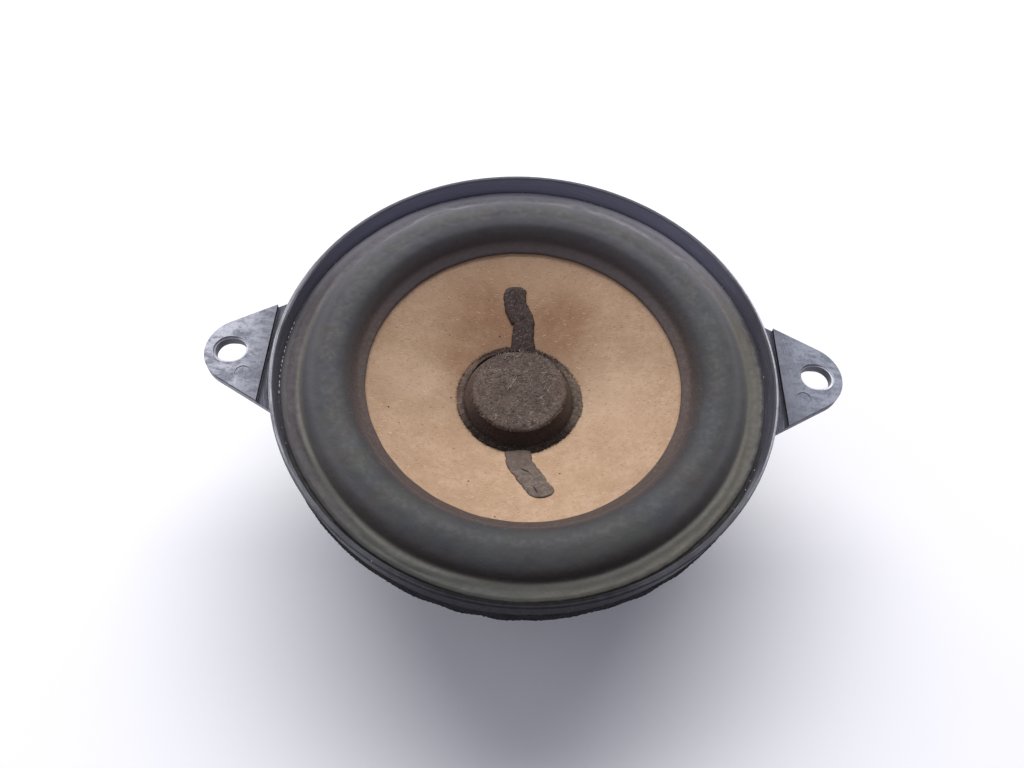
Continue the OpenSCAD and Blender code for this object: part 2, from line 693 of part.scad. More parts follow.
// Strip of glue along a route of [x, y] points on the cone's face, rounded across and at its outer end
module glue_strip(route, w, t) {
    n = 18;             // steps along
    m = 8;              // steps across
    round_from = 0.86;  // share of the length at which the end begins to round off
    edge_t = 0.1;       // thickness at the edges
    waver = 0.07;       // how much the width comes and goes along the strip
    last = len(route) - 1;
    function half_w(s) = w / 2 * (1 - waver + waver * cos(400 * s))
        * (s > round_from ? sqrt(1.05 - pow((s - round_from) / (1 - round_from), 2)) : 1);
    function at(s) = lerp_path(route, max(0, min(1, s)) * last);
    grid = [for (i = [0:n]) for (j = [0:m])
        let (s = i / n, v = 2 * j / m - 1, d = unit(at(s + 0.05) - at(s - 0.05)))
        [at(s) + [d[1], -d[0]] * v * half_w(s), edge_t + (t - edge_t) * sqrt(1 - 0.96 * v * v)]];
    top = [for (g = grid) [g[0][0], g[0][1], face_z(norm(g[0])) + fit + g[1]]];
    bottom = [for (g = grid) [g[0][0], g[0][1], face_z(norm(g[0])) + fit]];
    c = m + 1;
    base = (n + 1) * c;
    skin = [for (i = [0:n - 1]) for (j = [0:m - 1]) let (a = i * c + j, b = a + c)
        each [[a, a + 1, b + 1], [a, b + 1, b], [base + a, base + b + 1, base + a + 1],
              [base + a, base + b, base + b + 1]]];
    rim = concat([for (i = [0:n - 1]) i * c], [for (j = [0:m - 1]) n * c + j],
        [for (i = [n:-1:1]) i * c + m], [for (j = [m:-1:1]) j]);
    wall = [for (i = [0:len(rim) - 1]) let (a = rim[i], b = rim[(i + 1) % len(rim)])
        each [[a, b, base + b], [a, base + b, base + a]]];
    polyhedron(concat(top, bottom), concat(skin, wall), convexity = 8);
}

module lead_glue(route) {
    color([0.3, 0.26, 0.25]) glue_strip(route, strip_w, strip_t);
}

module coil_former() {
    z = winding_z - former_tail;
    color([0.62, 0.47, 0.28])
        difference() {
            translate([0, 0, z]) cylinder(r = former_r, h = former_top - z);
            translate([0, 0, z - over]) cylinder(r = former_in_r, h = former_top - z + 2 * over);
            for (s = [-1, 1])
                translate([0, s * former_r, lead_hole_z]) rotate([90, 0, 0])
                    cylinder(r = lead_hole_r, h = 2 * over, center = true, $fn = small_fn);
        }
}

module coil_winding() {
    color([0.72, 0.35, 0.16])
        translate([0, 0, winding_z]) difference() {
            cylinder(r = winding_r, h = winding_h);
            translate([0, 0, -over]) cylinder(r = former_r + fit, h = winding_h + 2 * over);
        }
}

// Coil lead: off the winding, through the former, up inside it and out over the cone to its eyelet
module coil_lead(side, route, eyelet) {
    r = coil_lead_d / 2;
    in_y = former_in_r - fit - r;
    crest = former_top + fit + r;
    up = [for (p = [
        [former_r + winding_t / 2, winding_top + fit + r], [former_r + 0.1, lead_hole_z - 0.1],
        [in_y + 0.1, lead_hole_z], [in_y, lead_hole_z + 0.4], [in_y, former_top - 0.3],
        [in_y, crest], [former_r + 0.1, crest]
    ]) [0, side * p[0], p[1]]];
    stop = eyelet + (eyelet_head_r + 0.1) * unit(route[3] - eyelet);
    over_cone = [for (p = [
        [0, side * (former_r + 0.9)], [0, side * cap_foot_r], route[0], route[1], route[2], route[3], stop
    ]) [p[0], p[1], face_z(norm(p)) + fit + r]];
    color([0.72, 0.4, 0.2]) tube(concat(up, over_cone), r);
}

module cone_eyelets() {
    depth = paper_t * cos(atan(cone_slope));
    color([0.8, 0.68, 0.38])
        for (e = [eyelet_far, eyelet_near]) on_face(e) {
            translate([0, 0, -depth - fit]) cylinder(r = eyelet_r, h = depth + 2 * fit, $fn = small_fn);
            for (z = [fit, -depth - fit - eyelet_flange_t])
                translate([0, 0, z]) cylinder(r = eyelet_head_r, h = eyelet_flange_t, $fn = small_fn);
        }
}

basket();
rear_gasket();
frame_rivets();
top_plate();
ferrite_magnet();
back_plate();
pole_piece();
surround();
spider();
at_side(1) tag_board();  // tag_board_positive
at_side(-1) tag_board();  // tag_board_negative
at_side(1) terminal(blade_w);  // terminal_positive
at_side(-1) terminal(narrow_blade_w);  // terminal_negative
terminal_rivets();
solder_joints();
tinsel_lead(eyelet_far);  // tinsel_lead_positive
at_side(-1) tinsel_lead(-eyelet_near);  // tinsel_lead_negative
cone();
dust_cap();
cap_glue_ring();
lead_glue(strip_far);  // lead_glue_far
lead_glue(strip_near);  // lead_glue_near
coil_former();
coil_winding();
coil_lead(1, strip_far, eyelet_far);  // coil_lead_positive
coil_lead(-1, strip_near, eyelet_near);  // coil_lead_negative
cone_eyelets();
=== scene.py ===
"""Looks of a car speaker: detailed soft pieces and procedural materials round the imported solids."""

import json
import math

import bpy
import numpy as np
from mathutils import Matrix, Vector

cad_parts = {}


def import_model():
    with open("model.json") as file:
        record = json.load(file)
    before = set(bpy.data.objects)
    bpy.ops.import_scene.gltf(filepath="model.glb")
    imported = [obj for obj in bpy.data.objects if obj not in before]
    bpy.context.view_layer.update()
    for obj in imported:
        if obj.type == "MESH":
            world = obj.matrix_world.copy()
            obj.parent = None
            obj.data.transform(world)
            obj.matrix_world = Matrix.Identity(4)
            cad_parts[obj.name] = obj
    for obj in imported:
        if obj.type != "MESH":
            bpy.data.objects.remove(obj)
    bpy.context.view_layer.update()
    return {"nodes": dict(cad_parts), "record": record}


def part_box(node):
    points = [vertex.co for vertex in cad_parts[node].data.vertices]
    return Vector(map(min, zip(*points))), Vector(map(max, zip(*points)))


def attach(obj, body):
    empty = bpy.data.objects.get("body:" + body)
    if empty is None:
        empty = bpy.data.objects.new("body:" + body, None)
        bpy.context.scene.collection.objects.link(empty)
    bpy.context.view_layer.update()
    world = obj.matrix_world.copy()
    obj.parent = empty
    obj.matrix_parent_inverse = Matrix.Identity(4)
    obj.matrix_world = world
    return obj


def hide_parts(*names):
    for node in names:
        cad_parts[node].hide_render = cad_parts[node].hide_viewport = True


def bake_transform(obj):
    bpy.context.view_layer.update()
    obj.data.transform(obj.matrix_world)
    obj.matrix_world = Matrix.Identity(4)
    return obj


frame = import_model()

MM = 0.001
TAU = 2 * math.pi
X, Y, Z = range(3)


def low(node, axis):
    """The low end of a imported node's box along an axis, in mm."""
    return round(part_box(node)[0][axis] / MM, 2)


def high(node, axis):
    return round(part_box(node)[1][axis] / MM, 2)


# Sizes in mm: from the frame where a box tells them, and else as in part.scad
LIP_Z, LIP_IN_R, SLOT_X = high("basket", Z), 49.9, 60
FLANGE_Z, RUBBER_T, ROLL_H = 39.55, 0.6, 4.3
FOOT_OUT_R, FOOT_IN_R, FOOT_IN_Z = 45.1, 35.2, 38.35
CONE_R, CONE_TOP, NECK_Z = high("cone", X), high("cone", Z), low("cone", Z)
CONE_EDGE_R, NECK_IN_R, CONE_SLOPE, PAPER_T = 32.9, 10.2, 0.5, 0.8
CAP_FOOT_R, CAP_Z = high("dust_cap", X), high("dust_cap", Z)
CAP_TOP_R, CAP_T, CAP_LIFT = 9.95, 0.6, 0.4
RING_R, RING_IN_R = high("cap_glue_ring", X), CAP_FOOT_R - 0.3
SPIDER_R, SPIDER_Z, SPIDER_IN_R, SPIDER_OUT_R = high("spider", X), 23.25, 11.6, 24.4
SPIDER_COLLAR_R, SPIDER_COLLAR_H, SPIDER_WAVES, SPIDER_WAVE_H, CLOTH_T = 10.45, 0.9, 5, 1.4, 0.4
GASKET_Z, GASKET_TOP = low("rear_gasket", Z), high("rear_gasket", Z)
ROUGH = 0.2           # left free in front of the gasket's outer face for its uneven foam
GASKET_IN_R, GASKET_R = 47.65, high("rear_gasket", X) - ROUGH
EYELET_FAR, EYELET_NEAR = (-2.4, 23.77), (3.6, -23.89)
LUG_Y, SOLDER_H, TERMINAL_TOP = low("terminal_positive", Y), 0.8, 26.1
FIT = 0.05
CAP_X = -0.75         # the cap and its glue sit a little off the axis, as in the photograph
FLANGE_EDGE_R = 49.6  # the flange stops short of the lip, most of all on the near side


def face_z(r):
    """The height of the cone's face at a radius."""
    return CONE_TOP - (CONE_R - r) * CONE_SLOPE


def srgb(r, g, b):
    """Linear colour of a display colour from 0 to 255."""
    def linear(c):
        c /= 255
        return c / 12.92 if c <= 0.04045 else ((c + 0.055) / 1.055) ** 2.4
    return (linear(r), linear(g), linear(b), 1.0)


def darker(colour, share):
    return [c * share for c in srgb(*colour)[:3]] + [1]


def smooth(x, start, end):
    """A smooth rise from 0 at start to 1 at end."""
    t = np.clip((x - start) / (end - start), 0, 1)
    return t * t * (3 - 2 * t)


# Materials

class Value:
    """A node's output. It can be added, multiplied and turned into a smooth step."""

    def __init__(self, material, socket):
        self.material, self.socket = material, socket

    def __add__(self, other):
        return self.material.math("ADD", self, other)

    def __sub__(self, other):
        return self.material.math("SUBTRACT", self, other)

    def __mul__(self, other):
        return self.material.math("MULTIPLY", self, other)

    def __abs__(self):
        return self.material.math("ABSOLUTE", self)

    def step(self, start, end, at_start=0.0, at_end=1.0):
        """A smooth change from at_start to at_end, between start and end. Start may be the higher one."""
        inputs = {"Value": self, "From Min": start, "From Max": end, "To Min": at_start, "To Max": at_end}
        node = self.material.add("ShaderNodeMapRange", inputs, interpolation_type="SMOOTHSTEP")
        return Value(self.material, node.outputs[0])


class Material:
    """One node material, called m below. Places are in mm, and most methods add nodes and give an output."""

    def __init__(self, name, rough=0.6, metallic=0.0, specular=0.5, **sockets):
        self.material = bpy.data.materials.new(name)
        self.material.use_nodes = True
        self.tree = self.material.node_tree
        self.shader = self.tree.nodes["Principled BSDF"]
        self.shader.inputs["Metallic"].default_value = metallic
        self.shader.inputs["Specular IOR Level"].default_value = specular
        self.shader.inputs["Roughness"].default_value = rough
        for key, value in sockets.items():
            self.shader.inputs[key.replace("_", " ")].default_value = value
        self.at = self.vector("SCALE", self.add("ShaderNodeTexCoord").outputs["Object"], scale=1 / MM)
        self.x, self.y, self.z = self.parts(self.at)
        self.r = self.math("SQRT", self.x * self.x + self.y * self.y)

    def add(self, kind, inputs=None, **settings):
        node = self.tree.nodes.new(kind)
        for key, value in settings.items():
            setattr(node, key, value)
        for key, value in (inputs or {}).items():
            self.put(node.inputs[key], value)
        return node

    def put(self, socket, value):
        """Links an output to a socket, or sets it. A colour is three display values or four linear ones."""
        if isinstance(value, Value):
            value = value.socket
        if isinstance(value, bpy.types.NodeSocket):
            self.tree.links.new(value, socket)
        elif socket.type == "RGBA" and len(value) == 3:
            socket.default_value = srgb(*value)
        else:
            socket.default_value = value

    def math(self, operation, a, b=0.0, clamp=False):
        node = self.add("ShaderNodeMath", {0: a, 1: b}, operation=operation, use_clamp=clamp)
        return Value(self, node.outputs[0])

    def either(self, a, b):
        """The larger of two, which for masks is where one of them holds."""
        return self.math("MAXIMUM", a, b)

    def vector(self, operation, a, b=(0, 0, 0), scale=1.0):
        inputs = {0: a, "Scale": scale} if operation == "SCALE" else {0: a, 1: b}
        node = self.add("ShaderNodeVectorMath", inputs, operation=operation)
        return Value(self, node.outputs["Value" if operation in ("DISTANCE", "DOT_PRODUCT") else "Vector"])

    def parts(self, vector):
        return [Value(self, socket) for socket in self.add("ShaderNodeSeparateXYZ", {0: vector}).outputs]

    def joined(self, *parts):
        return self.add("ShaderNodeCombineXYZ", dict(enumerate(parts))).outputs[0]

    def turned(self, angle, scale=(1, 1, 1), at=None):
        inputs = {"Vector": at or self.at, "Rotation": (0, 0, angle), "Scale": scale}
        return self.add("ShaderNodeMapping", inputs).outputs[0]

    def noise(self, scale, detail=3.0, rough=0.55, at=None, distortion=0.0):
        inputs = {"Vector": at or self.at, "Scale": scale, "Detail": detail, "Roughness": rough,
                  "Distortion": distortion}
        return Value(self, self.add("ShaderNodeTexNoise", inputs).outputs["Fac"])

    def cells(self, scale, at=None):
        """Scattered cells: the distance from each one's point, and two random numbers for each."""
        node = self.add("ShaderNodeTexVoronoi", {"Vector": at or self.at, "Scale": scale})
        pick = self.add("ShaderNodeSeparateColor", {0: node.outputs["Color"]})
        return [Value(self, socket) for socket in (node.outputs["Distance"], *pick.outputs[:2])]

    def near(self, x, y, inside, outside):
        """A soft spot round a point of the plan."""
        distance = self.vector("DISTANCE", self.joined(self.x, self.y), (x, y, 0))
        return distance.step(inside, outside, 1.0, 0.0)

    def mix(self, share, a, b):
        return self.add("ShaderNodeMix", {0: share, 6: a, 7: b}, data_type="RGBA").outputs[2]

    def specks(self, scale, size, share):
        """Small round specks in a share of the cells."""
        distance, pick, _ = self.cells(scale)
        return distance.step(size * 0.6, size, 1.0, 0.0) * pick.step(1 - share, 1 - share + 0.01)

    def fibres(self, length, width, share, angles, curl=0.6):
        """Short curled fibres that lie along the given angles in the plan, as a mask."""
        bend = self.add("ShaderNodeTexNoise", {"Vector": self.at, "Scale": 0.7})
        centred = self.vector("SUBTRACT", bend.outputs["Color"], (0.5, 0.5, 0.5))
        curled = self.vector("ADD", self.at, self.vector("SCALE", centred, scale=curl * length))
        total = None
        for angle in angles:
            at = self.turned(angle, (1 / length, 1 / (5 * width), 1 / length), curled)
            distance, _, pick = self.cells(1.0, at)
            mask = distance.step(0.12, 0.22, 1.0, 0.0) * pick.step(1 - share, 1.06 - share)
            total = mask if total is None else self.either(total, mask)
        return total

    def edges(self, radius):
        """Where the surface turns sharply, as a mask."""
        bevel = self.add("ShaderNodeBevel", {"Radius": radius * MM}, samples=4)
        plain = self.add("ShaderNodeNewGeometry").outputs["Normal"]
        return self.vector("DOT_PRODUCT", bevel.outputs[0], plain).step(0.8, 0.99, 1.0, 0.0)

    def colour(self, value):
        self.painted = value
        self.put(self.shader.inputs["Base Color"], value)

    def paint(self, share, value):
        """Lays a colour over those before it, where and as far as share says."""
        self.colour(self.mix(share, self.painted, value))

    def roughness(self, value):
        self.put(self.shader.inputs["Roughness"], value)

    def finished(self, *layers, bevel=0.0):
        """The material with relief: layers of (height, depth in mm), one on top of the other."""
        below = {}
        if bevel:
            below = {"Normal": self.add("ShaderNodeBevel", {"Radius": bevel * MM}, samples=4).outputs[0]}
        for height, depth in layers:
            inputs = {"Strength": 1, "Distance": depth * MM, "Height": height, **below}
            below = {"Normal": self.add("ShaderNodeBump", inputs).outputs[0]}
        self.put(self.shader.inputs["Normal"], below["Normal"])
        return self.material


def frame_plastic():
    """Black plastic, worn, and with light and shade painted in by place: the lip's top is at z = 44 and its
    walls at r = 49.9 and 51, and the ears' upper faces are at z = 41.75, the left one on the -X side."""
    m = Material("frame_plastic", specular=0.25)
    cloud = m.noise(0.35, 5, 0.65).step(0.35, 0.7)
    fine = m.noise(4.5, 4, 0.75).step(0.5, 0.66)
    up = m.parts(m.add("ShaderNodeNewGeometry").outputs["Normal"])[2]
    top = up.step(0.6, 0.95)
    far = m.y.step(-42, -10)
    m.colour(m.mix(cloud, (46, 46, 53), (62, 62, 71)))
    m.paint(fine * 0.25, (86, 86, 96))
    # along the rim: the angle counts less than the radius and the height, which gives streaks
    around = m.joined(m.math("ARCTAN2", m.y, m.x) * 6, m.r * 3, m.z * 3)
    streak = m.noise(1, 5, 0.7, around).step(0.5, 0.68)
    # the lip's inside: dusty, with streaks and pale dots, paler towards the far side as painted light, and
    # darker on the near side
    inside = m.r.step(50.05, 49.95) * m.z.step(39.3, 39.7)
    dust = m.mix(m.y.step(5, 40), m.mix(streak, (92, 89, 100), (124, 120, 131)),
                 m.mix(streak, (134, 134, 154), (148, 148, 166)))
    dust = m.mix(m.noise(2.6, 4, 0.8).step(0.56, 0.66) * m.y.step(30, 5), dust, (40, 38, 46))
    dust = m.mix(m.specks(2.2, 0.18, 0.2) * m.y.step(30, 5), dust, (176, 172, 182))
    m.paint(inside * m.y.step(-45, 5, 0.5, 1), dust)
    # painted shade in the space between the surround and the lip, seen on the near side
    m.paint(m.z.step(39.7, 39.6) * m.r.step(48, 48.1) * m.y.step(-5, -25), (4, 4, 5))
    # the web is darker than the ear, and darker still beside the ear's inner edge, where shadow is painted
    outside = m.either(m.r.step(50.9, 51.2), abs(m.x).step(51.8, 52.2))
    web = outside * m.z.step(39, 40.2) * top
    dull = m.mix(m.noise(1.6, 6, 0.8, around).step(0.45, 0.62), (64, 65, 78), (108, 109, 124))
    m.paint(web, m.mix(abs(m.x).step(51.7, 52.4), dull, (46, 46, 56)))
    # the ear's upper face is rubbed pale in streaks; the left one more than the right one
    ear = web * m.z.step(41.2, 41.6)
    left = m.x.step(10, -10)
    face = m.mix(left, (98, 103, 117), (104, 105, 118))
    rubbed = m.noise(0.3, 9, 0.74, m.turned(0.35, (0.7, 1.3, 1)), 0.3).step(0.41, 0.57)
    grain = m.noise(1.7, 7, 0.85).step(0.4, 0.62)
    tip = abs(m.x).step(52, 66, 0.55, 1)
    pale = m.mix(left, (170, 174, 188), (214, 216, 228))
    face = m.mix(rubbed * tip * m.x.step(-10, 10, 0.9, 0.65), face, pale)
    face = m.mix(grain * m.x.step(-10, 10, 0.5, 0.3), face, (166, 169, 184))
    worn = m.noise(0.7, 8, 0.8, distortion=0.8).step(0.55, 0.66)
    face = m.mix(worn * 0.55, face, (70, 71, 82))
    scratch = m.fibres(2.6, 0.05, 0.12, (0.2, 0.9, 2.3), 0.5)
    face = m.mix(scratch * m.x.step(10, -10, 0.35, 0.9), face, (204, 206, 220))
    face = m.mix(m.specks(2.4, 0.17, 0.18) * m.x.step(10, -10, 0.5, 1), face, (208, 210, 224))
    face = m.mix(abs(m.x).step(58, 52.5, 0, 0.5), face, (84, 86, 98))
    face = m.mix(m.y.step(-3, -10) * m.x.step(62, 54) * m.x.step(0, 10) * 0.4, face, (84, 88, 100))
    m.paint(ear, face)
    # side walls of the ears, painted light: a paler band below a dark line under the upper edge, palest on
    # the left ear's front
    side = outside * up.step(0.4, 0.2) * m.z.step(39.4, 39.6) * m.z.step(41.1, 40.8)
    m.paint(side * 0.8, m.mix(left * m.y.step(2, -2), (112, 113, 126), (176, 178, 190)))
    # slots: walls painted paler, as painted light, and a mouth painted pale, brightest on one side as a
    # painted highlight
    across = m.x - m.x.step(-1, 1, -SLOT_X, SLOT_X)
    over = m.either(abs(across) - 0.4, 0)
    reach = m.math("SQRT", over * over + m.y * m.y)
    m.paint(reach.step(2.78, 2.73), (112, 114, 124))
    mouth = reach.step(3.2, 3.12) * reach.step(2.72, 2.8) * m.z.step(41.1, 41.3)
    lit = (across - m.y * 0.7).step(-2.4, 0.6, 0.35, 1)
    m.paint(mouth * lit * m.noise(1.6, 4).step(0.3, 0.5, 0.6, 1), (235, 236, 245))
    # lip: worn pale and streaked, kept pale only away from the near side, so that its paleness is partly
    # painted light; the near side has painted shade, and its inner edge a dark line of painted shadow
    lip = m.z.step(43.6, 43.8) * m.r.step(51.4, 51.2)
    worn = m.mix(m.noise(1.3, 7, 0.8, around).step(0.38, 0.6), (112, 112, 119), (203, 203, 211))
    worn = m.mix(m.noise(3, 4, 0.8).step(0.56, 0.66), worn, (58, 58, 66))
    # at the back only the outer half of the lip is pale
    worn = m.mix(m.y.step(0, 30) * m.r.step(50.75, 50.6), worn, (74, 74, 85))
    # painted light: the lip paler on the right
    right = m.x.step(40, 47) * m.noise(2, 5, 0.7).step(0.35, 0.6, 0.2, 0.9)
    worn = m.mix(right, worn, (204, 206, 218))
    worn = m.mix(m.r.step(50.6, 50.45) * m.x.step(38, 46), worn, (52, 51, 60))
    worn = m.mix(m.r.step(50.4, 50.25) * m.x.step(-38, -46) * m.y.step(14, 4), worn, (58, 57, 66))
    m.paint(lip * far * 0.9, worn)
    # painted shade over the near side of the lip, and a black painted shadow line at its inner edge
    near = m.y.step(-42, -50) * m.r.step(49.5, 49.8) * m.r.step(52, 51.5)
    m.paint(near * 0.85, (33, 32, 38))
    m.paint(near * m.r.step(50.5, 50.35) * m.z.step(41, 42), (3, 3, 4))
    rim = m.z.step(38.5, 39) * m.r.step(50.3, 50.5) * m.r.step(51.6, 51.3)
    m.paint(rim * streak * far.step(0, 1, 0.12, 0.4), (112, 110, 124))
    # pale worn outer edge of the lip, kept to the far side as a painted highlight
    edge = m.edges(0.3) * m.r.step(50.5, 50.7)
    m.paint(edge * m.z.step(38.2, 38.8) * m.noise(2, 4).step(0.35, 0.6, 0.1, 0.5) * far, (170, 172, 186))
    m.paint(m.specks(0.55, 0.09, 0.08), (150, 158, 162))
    m.roughness(m.math("ADD", m.noise(0.8, 4).step(0.3, 0.7, 0.4, 0.56), near * 0.4, clamp=True))
    return m.finished((m.noise(4, 3), 0.02), (m.noise(0.5, 2), 0.05), (streak, 0.03), bevel=0.15)


def rubber():
    """Black rubber under dust, with light and shade painted in by place: the roll lies from r = 35 to 45,
    and the flat flange outside it.
    """
    m = Material("surround_rubber", specular=0.3, Sheen_Weight=0.12, Sheen_Roughness=0.45)
    m.shader.inputs["Sheen Tint"].default_value = (0.8, 0.8, 0.9, 1)
    soft = m.noise(0.12, 3)
    dust = m.noise(0.9, 6, 0.75)
    m.colour(m.mix(soft.step(0.35, 0.65), (54, 55, 60), (66, 66, 66)))
    # patches of blue, green and brown film
    m.paint(m.noise(0.09, 4, 0.6).step(0.5, 0.66, 0, 0.6), (52, 60, 68))
    m.paint(m.noise(0.13, 4, 0.6, m.turned(1)).step(0.52, 0.66, 0, 0.6), (62, 64, 58))
    m.paint(m.noise(0.17, 4, 0.6, m.turned(2.2)).step(0.54, 0.68, 0, 0.6), (64, 55, 52))
    # painted shade: the inner slope is darker on the right and in front; painted light: the outer slope is
    # paler at both sides
    shade = m.either(m.x.step(15, 36), m.y.step(-18, -34, 0, 0.7))
    m.paint(shade * m.r.step(42, 40.5) * 0.42, (40, 40, 42))
    m.paint(m.x.step(18, 40) * m.r.step(41.5, 43.5) * 0.6, (100, 100, 102))
    m.paint(m.x.step(-15, -38) * m.r.step(41, 43.5) * 0.75, (88, 87, 90))
    m.paint(dust.step(0.5, 0.8, 0, 0.6), (78, 78, 82))
    m.paint(m.noise(5, 3, 0.7).step(0.55, 0.75, 0, 0.35), (84, 83, 84))
    # flat outer flange: brownish grey, olive on the near side and yellower on the right
    edge = m.r + m.noise(1.5, 2) * 0.3
    flange = edge.step(45.7, 45.95)
    front = (m.x * 0.8 - m.y).step(-25, 30)
    olive = m.mix(m.x.step(-15, 35), (77, 78, 75), (96, 93, 86))
    band = m.mix(front, (72, 66, 71), olive)
    band = m.mix(m.noise(2, 5, 0.7).step(0.4, 0.7, 0, 0.5), band, (84, 82, 79))
    m.paint(flange, band)
    # painted light, with dust: the outer slope and the flange paler on the far side
    far = m.y.step(8, 42)
    m.paint(far * m.r.step(40, 46) * m.noise(0.5, 4).step(0.3, 0.6, 0.55, 0.9), (121, 119, 125))
    slope = m.y.step(5, 32) * m.r.step(36.2, 37.4) * m.r.step(39.6, 38.4)
    m.paint(slope * 0.65, (90, 88, 94))
    # dust, and painted light against the lip's shadow, where the flange meets the lip; strongest on the far
    # side
    m.paint(m.y.step(-36, -8) * m.r.step(48, 49.1) * 0.6, (134, 131, 134))
    m.paint(far * m.r.step(46.9, 48.8) * 0.85, (176, 173, 180))
    # painted highlights: soft wandering pale lines on the far side, like folds
    wander = m.r + m.noise(0.07, 2) * 9
    for middle in (48.6, 50.6):
        line = abs(wander - middle).step(0.8, 0)
        m.paint(far * line * m.r.step(43.5, 45) * 0.3, (176, 174, 180))
    # painted highlights along the fold at the roll's outer foot, and the flange darker towards the lip on the
    # right
    fold = edge.step(44.6, 45.6) * edge.step(46.9, 46) * m.x.step(20, -30, 0.45, 1) * m.y.step(30, 0)
    m.paint(fold * 0.6, (118, 115, 106))
    foot = abs(m.x).step(18, 28) * m.y.step(-14, -24) * edge.step(43.8, 45.2)
    m.paint(foot * edge.step(46.8, 45.9) * 0.6, (108, 106, 101))
    darker_by_lip = (m.r + m.noise(0.5, 6, 0.75) * 5).step(50.6, 51.8) * m.x.step(0, 35, 0.1, 0.6) * m.y.step(30, 5)
    m.paint(darker_by_lip, (52, 49, 51))
    # painted shade, brown, low on the near slope
    near_slope_shade = m.r.step(42.5, 44.5) * edge.step(45.9, 45.2) * m.y.step(-10, -35)
    m.paint(near_slope_shade * 0.7, (54, 46, 46))
    # inner flange, stained brown by the glue under it, and a brown haze up the roll
    ragged = m.r + m.noise(0.5, 5, 0.65) * 3
    stain = ragged.step(36.2, 38.6, 0.85, 0)
    brown = m.mix(m.noise(1.6, 5, 0.7).step(0.35, 0.7), (76, 63, 58), (98, 84, 78))
    brown = m.mix(m.y.step(-12, -26, 0, 0.5), brown, (64, 49, 43))
    brown = m.mix(m.y.step(4, 24, 0, 0.55), brown, (74, 68, 76))
    m.paint(stain, brown)
    # painted shade in the crease at the roll's inner foot
    crease = m.r.step(34.4, 35.2) * m.r.step(37.2, 36.2) * m.y.step(-20, 20, 0.45, 0.55)
    m.paint(crease, (46, 44, 50))
    light = m.fibres(1.6, 0.07, 0.16, (0.3, 1.4, 2.4)) * m.r.step(38, 36) * m.y.step(8, -8)
    m.paint(light * 0.5, (130, 118, 106))
    m.paint(m.specks(0.7, 0.08, 0.02) * 0.5, (120, 117, 112))
    m.roughness(m.noise(0.9, 4).step(0.3, 0.7, 0.5, 0.66))
    return m.finished((m.noise(6, 3), 0.012), (m.noise(0.4, 3), 0.16))


def paper():
    """Bare tan paper with fibres and flecks, browner in places."""
    m = Material("cone_paper", rough=0.9, specular=0.2)
    cloud = m.noise(0.16, 4, 0.6)
    m.colour(m.mix(cloud.step(0.35, 0.65), (181, 152, 126), (195, 167, 141)))
    m.paint(m.noise(0.8, 7, 0.75).step(0.42, 0.68, 0, 0.8), (176, 144, 115))
    fine = m.noise(5, 4, 0.8)
    m.paint(fine.step(0.4, 0.65, 0, 0.4), (164, 132, 105))
    # brown spots on the far side, over a paler far side of painted light, and two paler spots of painted
    # light at the right and the left
    brown = m.either(m.either(m.near(-7, 17, 2, 16), m.near(8, 18, 2, 12)), m.near(-13, 8, 1, 8))
    m.paint(m.y.step(12, 30, 0, 0.45), (210, 174, 143))
    patchy = m.noise(0.22, 5, 0.6).step(0.3, 0.65, 0.5, 0.9)
    m.paint(brown * patchy, (156, 118, 91))
    painted_light_spots = m.either(m.near(18, -1, 2, 12), m.near(-24, 1, 2, 9))
    m.paint(painted_light_spots * 0.3, (216, 188, 161))
    flecks = m.noise(2, 3, 0.6).step(0.6, 0.7) * m.noise(0.3, 3).step(0.45, 0.6)
    m.paint(flecks * 0.35, (120, 94, 72))
    pale = m.fibres(2.2, 0.10, 0.42, (0.2, 0.9, 1.7, 2.6))
    dark = m.fibres(1.6, 0.08, 0.3, (0.5, 1.3, 2.1, 2.9))
    m.paint(pale * 0.35, (222, 198, 172))
    m.paint(dark * 0.45, (120, 92, 72))
    m.paint(m.specks(0.22, 0.055, 0.5), (88, 62, 48))
    m.paint(m.specks(0.6, 0.1, 0.12), (110, 84, 66))
    # soaked edge round the glue
    out = m.vector("DISTANCE", m.joined(m.x, m.y), (CAP_X, 0, 0))
    out = out - m.noise(2.2, 6, 0.8) * 2.2
    soaked = out.step(11.8, 13.1, 0.9, 0)
    m.paint(soaked, (92, 76, 64))
    relief = pale * 0.7 - dark * 0.4
    return m.finished((relief, 0.05), (m.noise(2.4, 5, 0.7), 0.09))


def felt():
    """Brown felt with pale and dark fibres, and a darker side."""
    m = Material("cap_felt", rough=0.95, specular=0.04)
    m.colour(m.mix(m.noise(0.22, 4, 0.7).step(0.35, 0.65), (94, 80, 73), (116, 101, 92)))
    m.paint(m.noise(1.6, 6, 0.8).step(0.42, 0.62, 0, 0.7), (68, 56, 52))
    m.paint(m.noise(5, 4, 0.8).step(0.5, 0.62, 0, 0.7), (132, 118, 110))
    pale = m.fibres(1.8, 0.06, 0.3, (0.1, 0.5, 1.5, 2.9))
    dark = m.fibres(1.2, 0.09, 0.55, (0.4, 1.1, 1.9, 2.7))
    m.paint(dark * 0.7, (46, 37, 35))
    m.paint(pale * 0.55, (172, 160, 152))
    # the side: darker in front, both glue soaked into the felt and painted shade, and paler round the left,
    # right and back as painted light
    side = m.z.step(30.35, 30.75, 1, 0)
    shade = m.mix((m.y + m.noise(0.9, 5, 0.7) * 4).step(-7, 1), (50, 42, 40), (98, 83, 77))
    m.paint(side * 0.8, shade)
    return m.finished((pale - dark, 0.1), (m.noise(3, 5, 0.8), 0.2))


